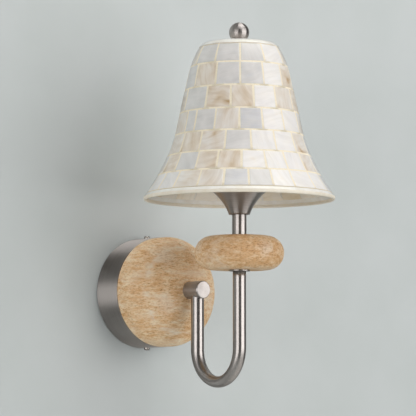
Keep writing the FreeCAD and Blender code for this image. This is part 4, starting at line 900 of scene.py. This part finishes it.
def make_rim():
    """Plain pearly band below the tiles and a cream edging with a half round foot."""
    low, high = EDGING_HIGH, ROW_LINES[-1]
    band_top = high + MOUTH - 0.2
    band = [(bell(low) - TILE_THICK, low + MOUTH, 0.1), (bell(low), low + MOUTH, 0.15),
            (bell(high), band_top, 0.3), (bell(high) - TILE_THICK, high + MOUTH, 0.1)]
    turned_piece("rim_band_pearl", "rim_band", band, on_lamp_axis, STEPS_WIDE, PEARL_RESIN,
                 "shade")
    wide, half = bell(EDGING_HIGH), (TILE_THICK + SHADE_WALL) / 2
    edging = [(wide, low + MOUTH, 0.1), (wide - 2 * half, low + MOUTH, 0.1)]
    edging += arc((wide - half, MOUTH + half), half, 180, 360, 16)
    turned_piece("rim_edging_cast", "rim_edging", edging, on_lamp_axis, STEPS_WIDE, RESIN,
                 "shade")


# ------------------------------------------------------------------ stage

def open_behind(tree, shader):
    """Let rays through a sheet: from behind, to a lamp, or in the hole behind the drum.

    The hole is round about the drum's axis, as for a wall box.
    """
    behind = add(tree, "NewGeometry", out="Backfacing")
    lit = add(tree, "LightPath", out="Is Shadow Ray")
    place = add(tree, "TexCoord", out="Object")
    out = off_wall_axis(tree, place)
    hole = add(tree, "Math", {0: out, 1: BOX_HOLE}, operation="LESS_THAN")
    free = add(tree, "Math", {0: hole, 1: lit}, operation="MAXIMUM")
    through = add(tree, "Math", {0: behind, 1: free}, operation="MAXIMUM")
    clear = add(tree, "BsdfTransparent")
    both = add(tree, "MixShader", {0: through, 1: shader.outputs["BSDF"], 2: clear})
    tree.links.new(both, tree.nodes["Material Output"].inputs["Surface"])


def make_sheet(name, corners, material):
    """A flat sheet of the stage."""
    mesh = bpy.data.meshes.new(name)
    mesh.from_pydata(corners, [], [(0, 1, 2, 3)])
    mesh.materials.append(material)
    sheet = bpy.data.objects.new(name, mesh)
    bpy.context.scene.collection.objects.link(sheet)
    return sheet


def make_stage():
    """Pale plastered wall behind the sconce and a floor of the same plaster below it."""
    material, tree, shader = new_finish("painted_plaster", {
        "Specular IOR Level": 0.2, "Roughness": 0.85})
    place = add(tree, "TexCoord", out="Object")
    # trowel marks 50 to 100 mm across
    trowel = add(tree, "TexNoise", {"Vector": place, "Scale": 9.0, "Detail": 4.0})
    colour = add(tree, "ValToRGB", {"Fac": trowel}, stops=((0.3, "#CACFCD"), (0.7, "#D0D4D3")))
    tree.links.new(colour, shader.inputs["Base Color"])
    open_behind(tree, shader)
    left, right, low, high = -STAGE_HALF, STAGE_HALF, STAGE_FLOOR, STAGE_TOP
    make_sheet("stage_wall", (
        (left, WALL_BACK, low), (right, WALL_BACK, low), (right, WALL_BACK, high),
        (left, WALL_BACK, high)), material)
    make_sheet("stage_floor", (
        (left, STAGE_FRONT, low), (right, STAGE_FRONT, low), (right, WALL_BACK, low),
        (left, WALL_BACK, low)), material)


def make_card(name, colour, corners):
    """A card only metal and gloss show: a painted reflection of a studio's unlit or pale side."""
    material, tree, shader = new_finish(name, {"Base Color": linear(colour), "Roughness": 1.0})
    open_behind(tree, shader)
    card = make_sheet(name, corners, material)
    card.visible_camera = False
    card.visible_diffuse = False
    card.visible_shadow = False


def make_cards():
    """Painted reflections: black behind the camera, grey shade on parts of the wall, white below.
    """
    towards = Vector((-0.542, -0.841, 0.0)).normalized()
    across = Vector((towards.y, -towards.x, 0.0))
    middle, foot, head = towards * 3.4, Vector((0, 0, -1.3)), Vector((0, 0, 1.6))
    # a black card that paints a dark reflection of the unlit room behind the camera
    make_card("stage_painted_dark_reflection", "#1C1C1D", [
        middle - across + foot, middle + across + foot, middle + across + head,
        middle - across + head])
    # the grey cards paint shade into the wall's reflection up to the shade's mouth and again
    # above the shade, but for a window at the drum's left that the drum's side mirrors, with
    # cards on both sides of the middle band
    window_left, window_right, shade_foot, shade_head = -0.22, -0.05, 0.10, 0.42
    shade_cards = (("left", -STAGE_HALF, window_left, STAGE_FLOOR, shade_foot),
             ("lower", window_right, STAGE_HALF, STAGE_FLOOR, shade_foot),
             ("upper", -STAGE_HALF, STAGE_HALF, shade_head, STAGE_TOP),
             ("window_foot", window_left, window_right, -0.12, -0.03),
             ("window_head", window_left, window_right, 0.03, shade_foot))
    for name, left, right, low, high in shade_cards:
        make_card("stage_painted_shade_card_" + name, "#969896", [
            (left, SHADE_CARD_BACK, low), (right, SHADE_CARD_BACK, low), (right, SHADE_CARD_BACK, high),
            (left, SHADE_CARD_BACK, high)])
    # a white card below that paints a pale reflection into the lower faces of the metal
    left, right, front, back, level = -0.03, 0.6, -0.9, -0.05, -0.35
    make_card("stage_painted_pale_reflection", "#E6E5E2", [
        (left, front, level), (right, front, level), (right, back, level), (left, back, level)])


def make_softbox(name, watts, size, direction, distance):
    """Rectangular area light, its size in metres, that faces the sconce from a direction."""
    data = bpy.data.lights.new(name, "AREA")
    data.shape = "RECTANGLE"
    data.energy = watts
    data.size, data.size_y = size
    box = bpy.data.objects.new(name, data)
    bpy.context.scene.collection.objects.link(box)
    target = Vector((0.0, -0.13, 0.08))
    towards = Vector(direction).normalized()
    box.location = target + towards * distance
    box.rotation_euler = towards.to_track_quat("Z", "Y").to_euler()
    box.visible_camera = False


def make_light():
    """Wide softbox at the right, smaller ones overhead and at the left, and a dim world."""
    make_softbox("softbox_right", 38.0, (2.4, 2.0), (0.37, -0.92, 0.10), 2.3)
    make_softbox("softbox_top", 22.0, (1.6, 1.4), (0.12, -0.25, 0.95), 2.0)
    make_softbox("softbox_left", 22.0, (2.0, 1.5), (-0.951, -0.313, -0.06), 2.4)
    world = bpy.data.worlds.new("studio_grey")
    world.use_nodes = True
    background = world.node_tree.nodes["Background"]
    background.inputs["Color"].default_value = linear("#FDFEFF")
    background.inputs["Strength"].default_value = 0.09
    bpy.context.scene.world = world


def make_camera():
    """Long lens from the lower left, looking up a little, square frame."""
    data = bpy.data.cameras.new("photo_view")
    data.sensor_width = 36.0
    data.lens = 206.3
    data.clip_end = 20.0
    camera = bpy.data.objects.new("photo_view", data)
    bpy.context.scene.collection.objects.link(camera)
    # fitted to the photographed outline, as are the lens and the place
    azimuth, elevation = math.radians(38.236), math.radians(4.813)
    look = Vector((math.sin(azimuth) * math.cos(elevation),
                   math.cos(azimuth) * math.cos(elevation), math.sin(elevation)))
    camera.location = (-1.5722, -2.1146, -0.1269)
    camera.rotation_euler = look.to_track_quat("-Z", "Y").to_euler()
    bpy.context.scene.camera = camera


def dress_carried():
    """Give each CAD piece that keeps its own shape the finish of its material slot."""
    for part in frame["record"]["subparts"]:
        if part["node"] in REPLACED:
            continue
        material = CARRIED.get(part["material_slot"], PLAIN_NICKEL)
        for slot in frame["nodes"][part["node"]].material_slots:
            slot.material = material


bpy.context.scene.view_settings.view_transform = "Standard"
make_camera()
make_light()
make_stage()
make_cards()
make_drum()
make_boss()
make_arm()
make_washer_and_sleeve()
make_cup()
make_finial()
make_disc()
make_bead()
make_body()
make_tiles()
make_rim()
dress_carried()
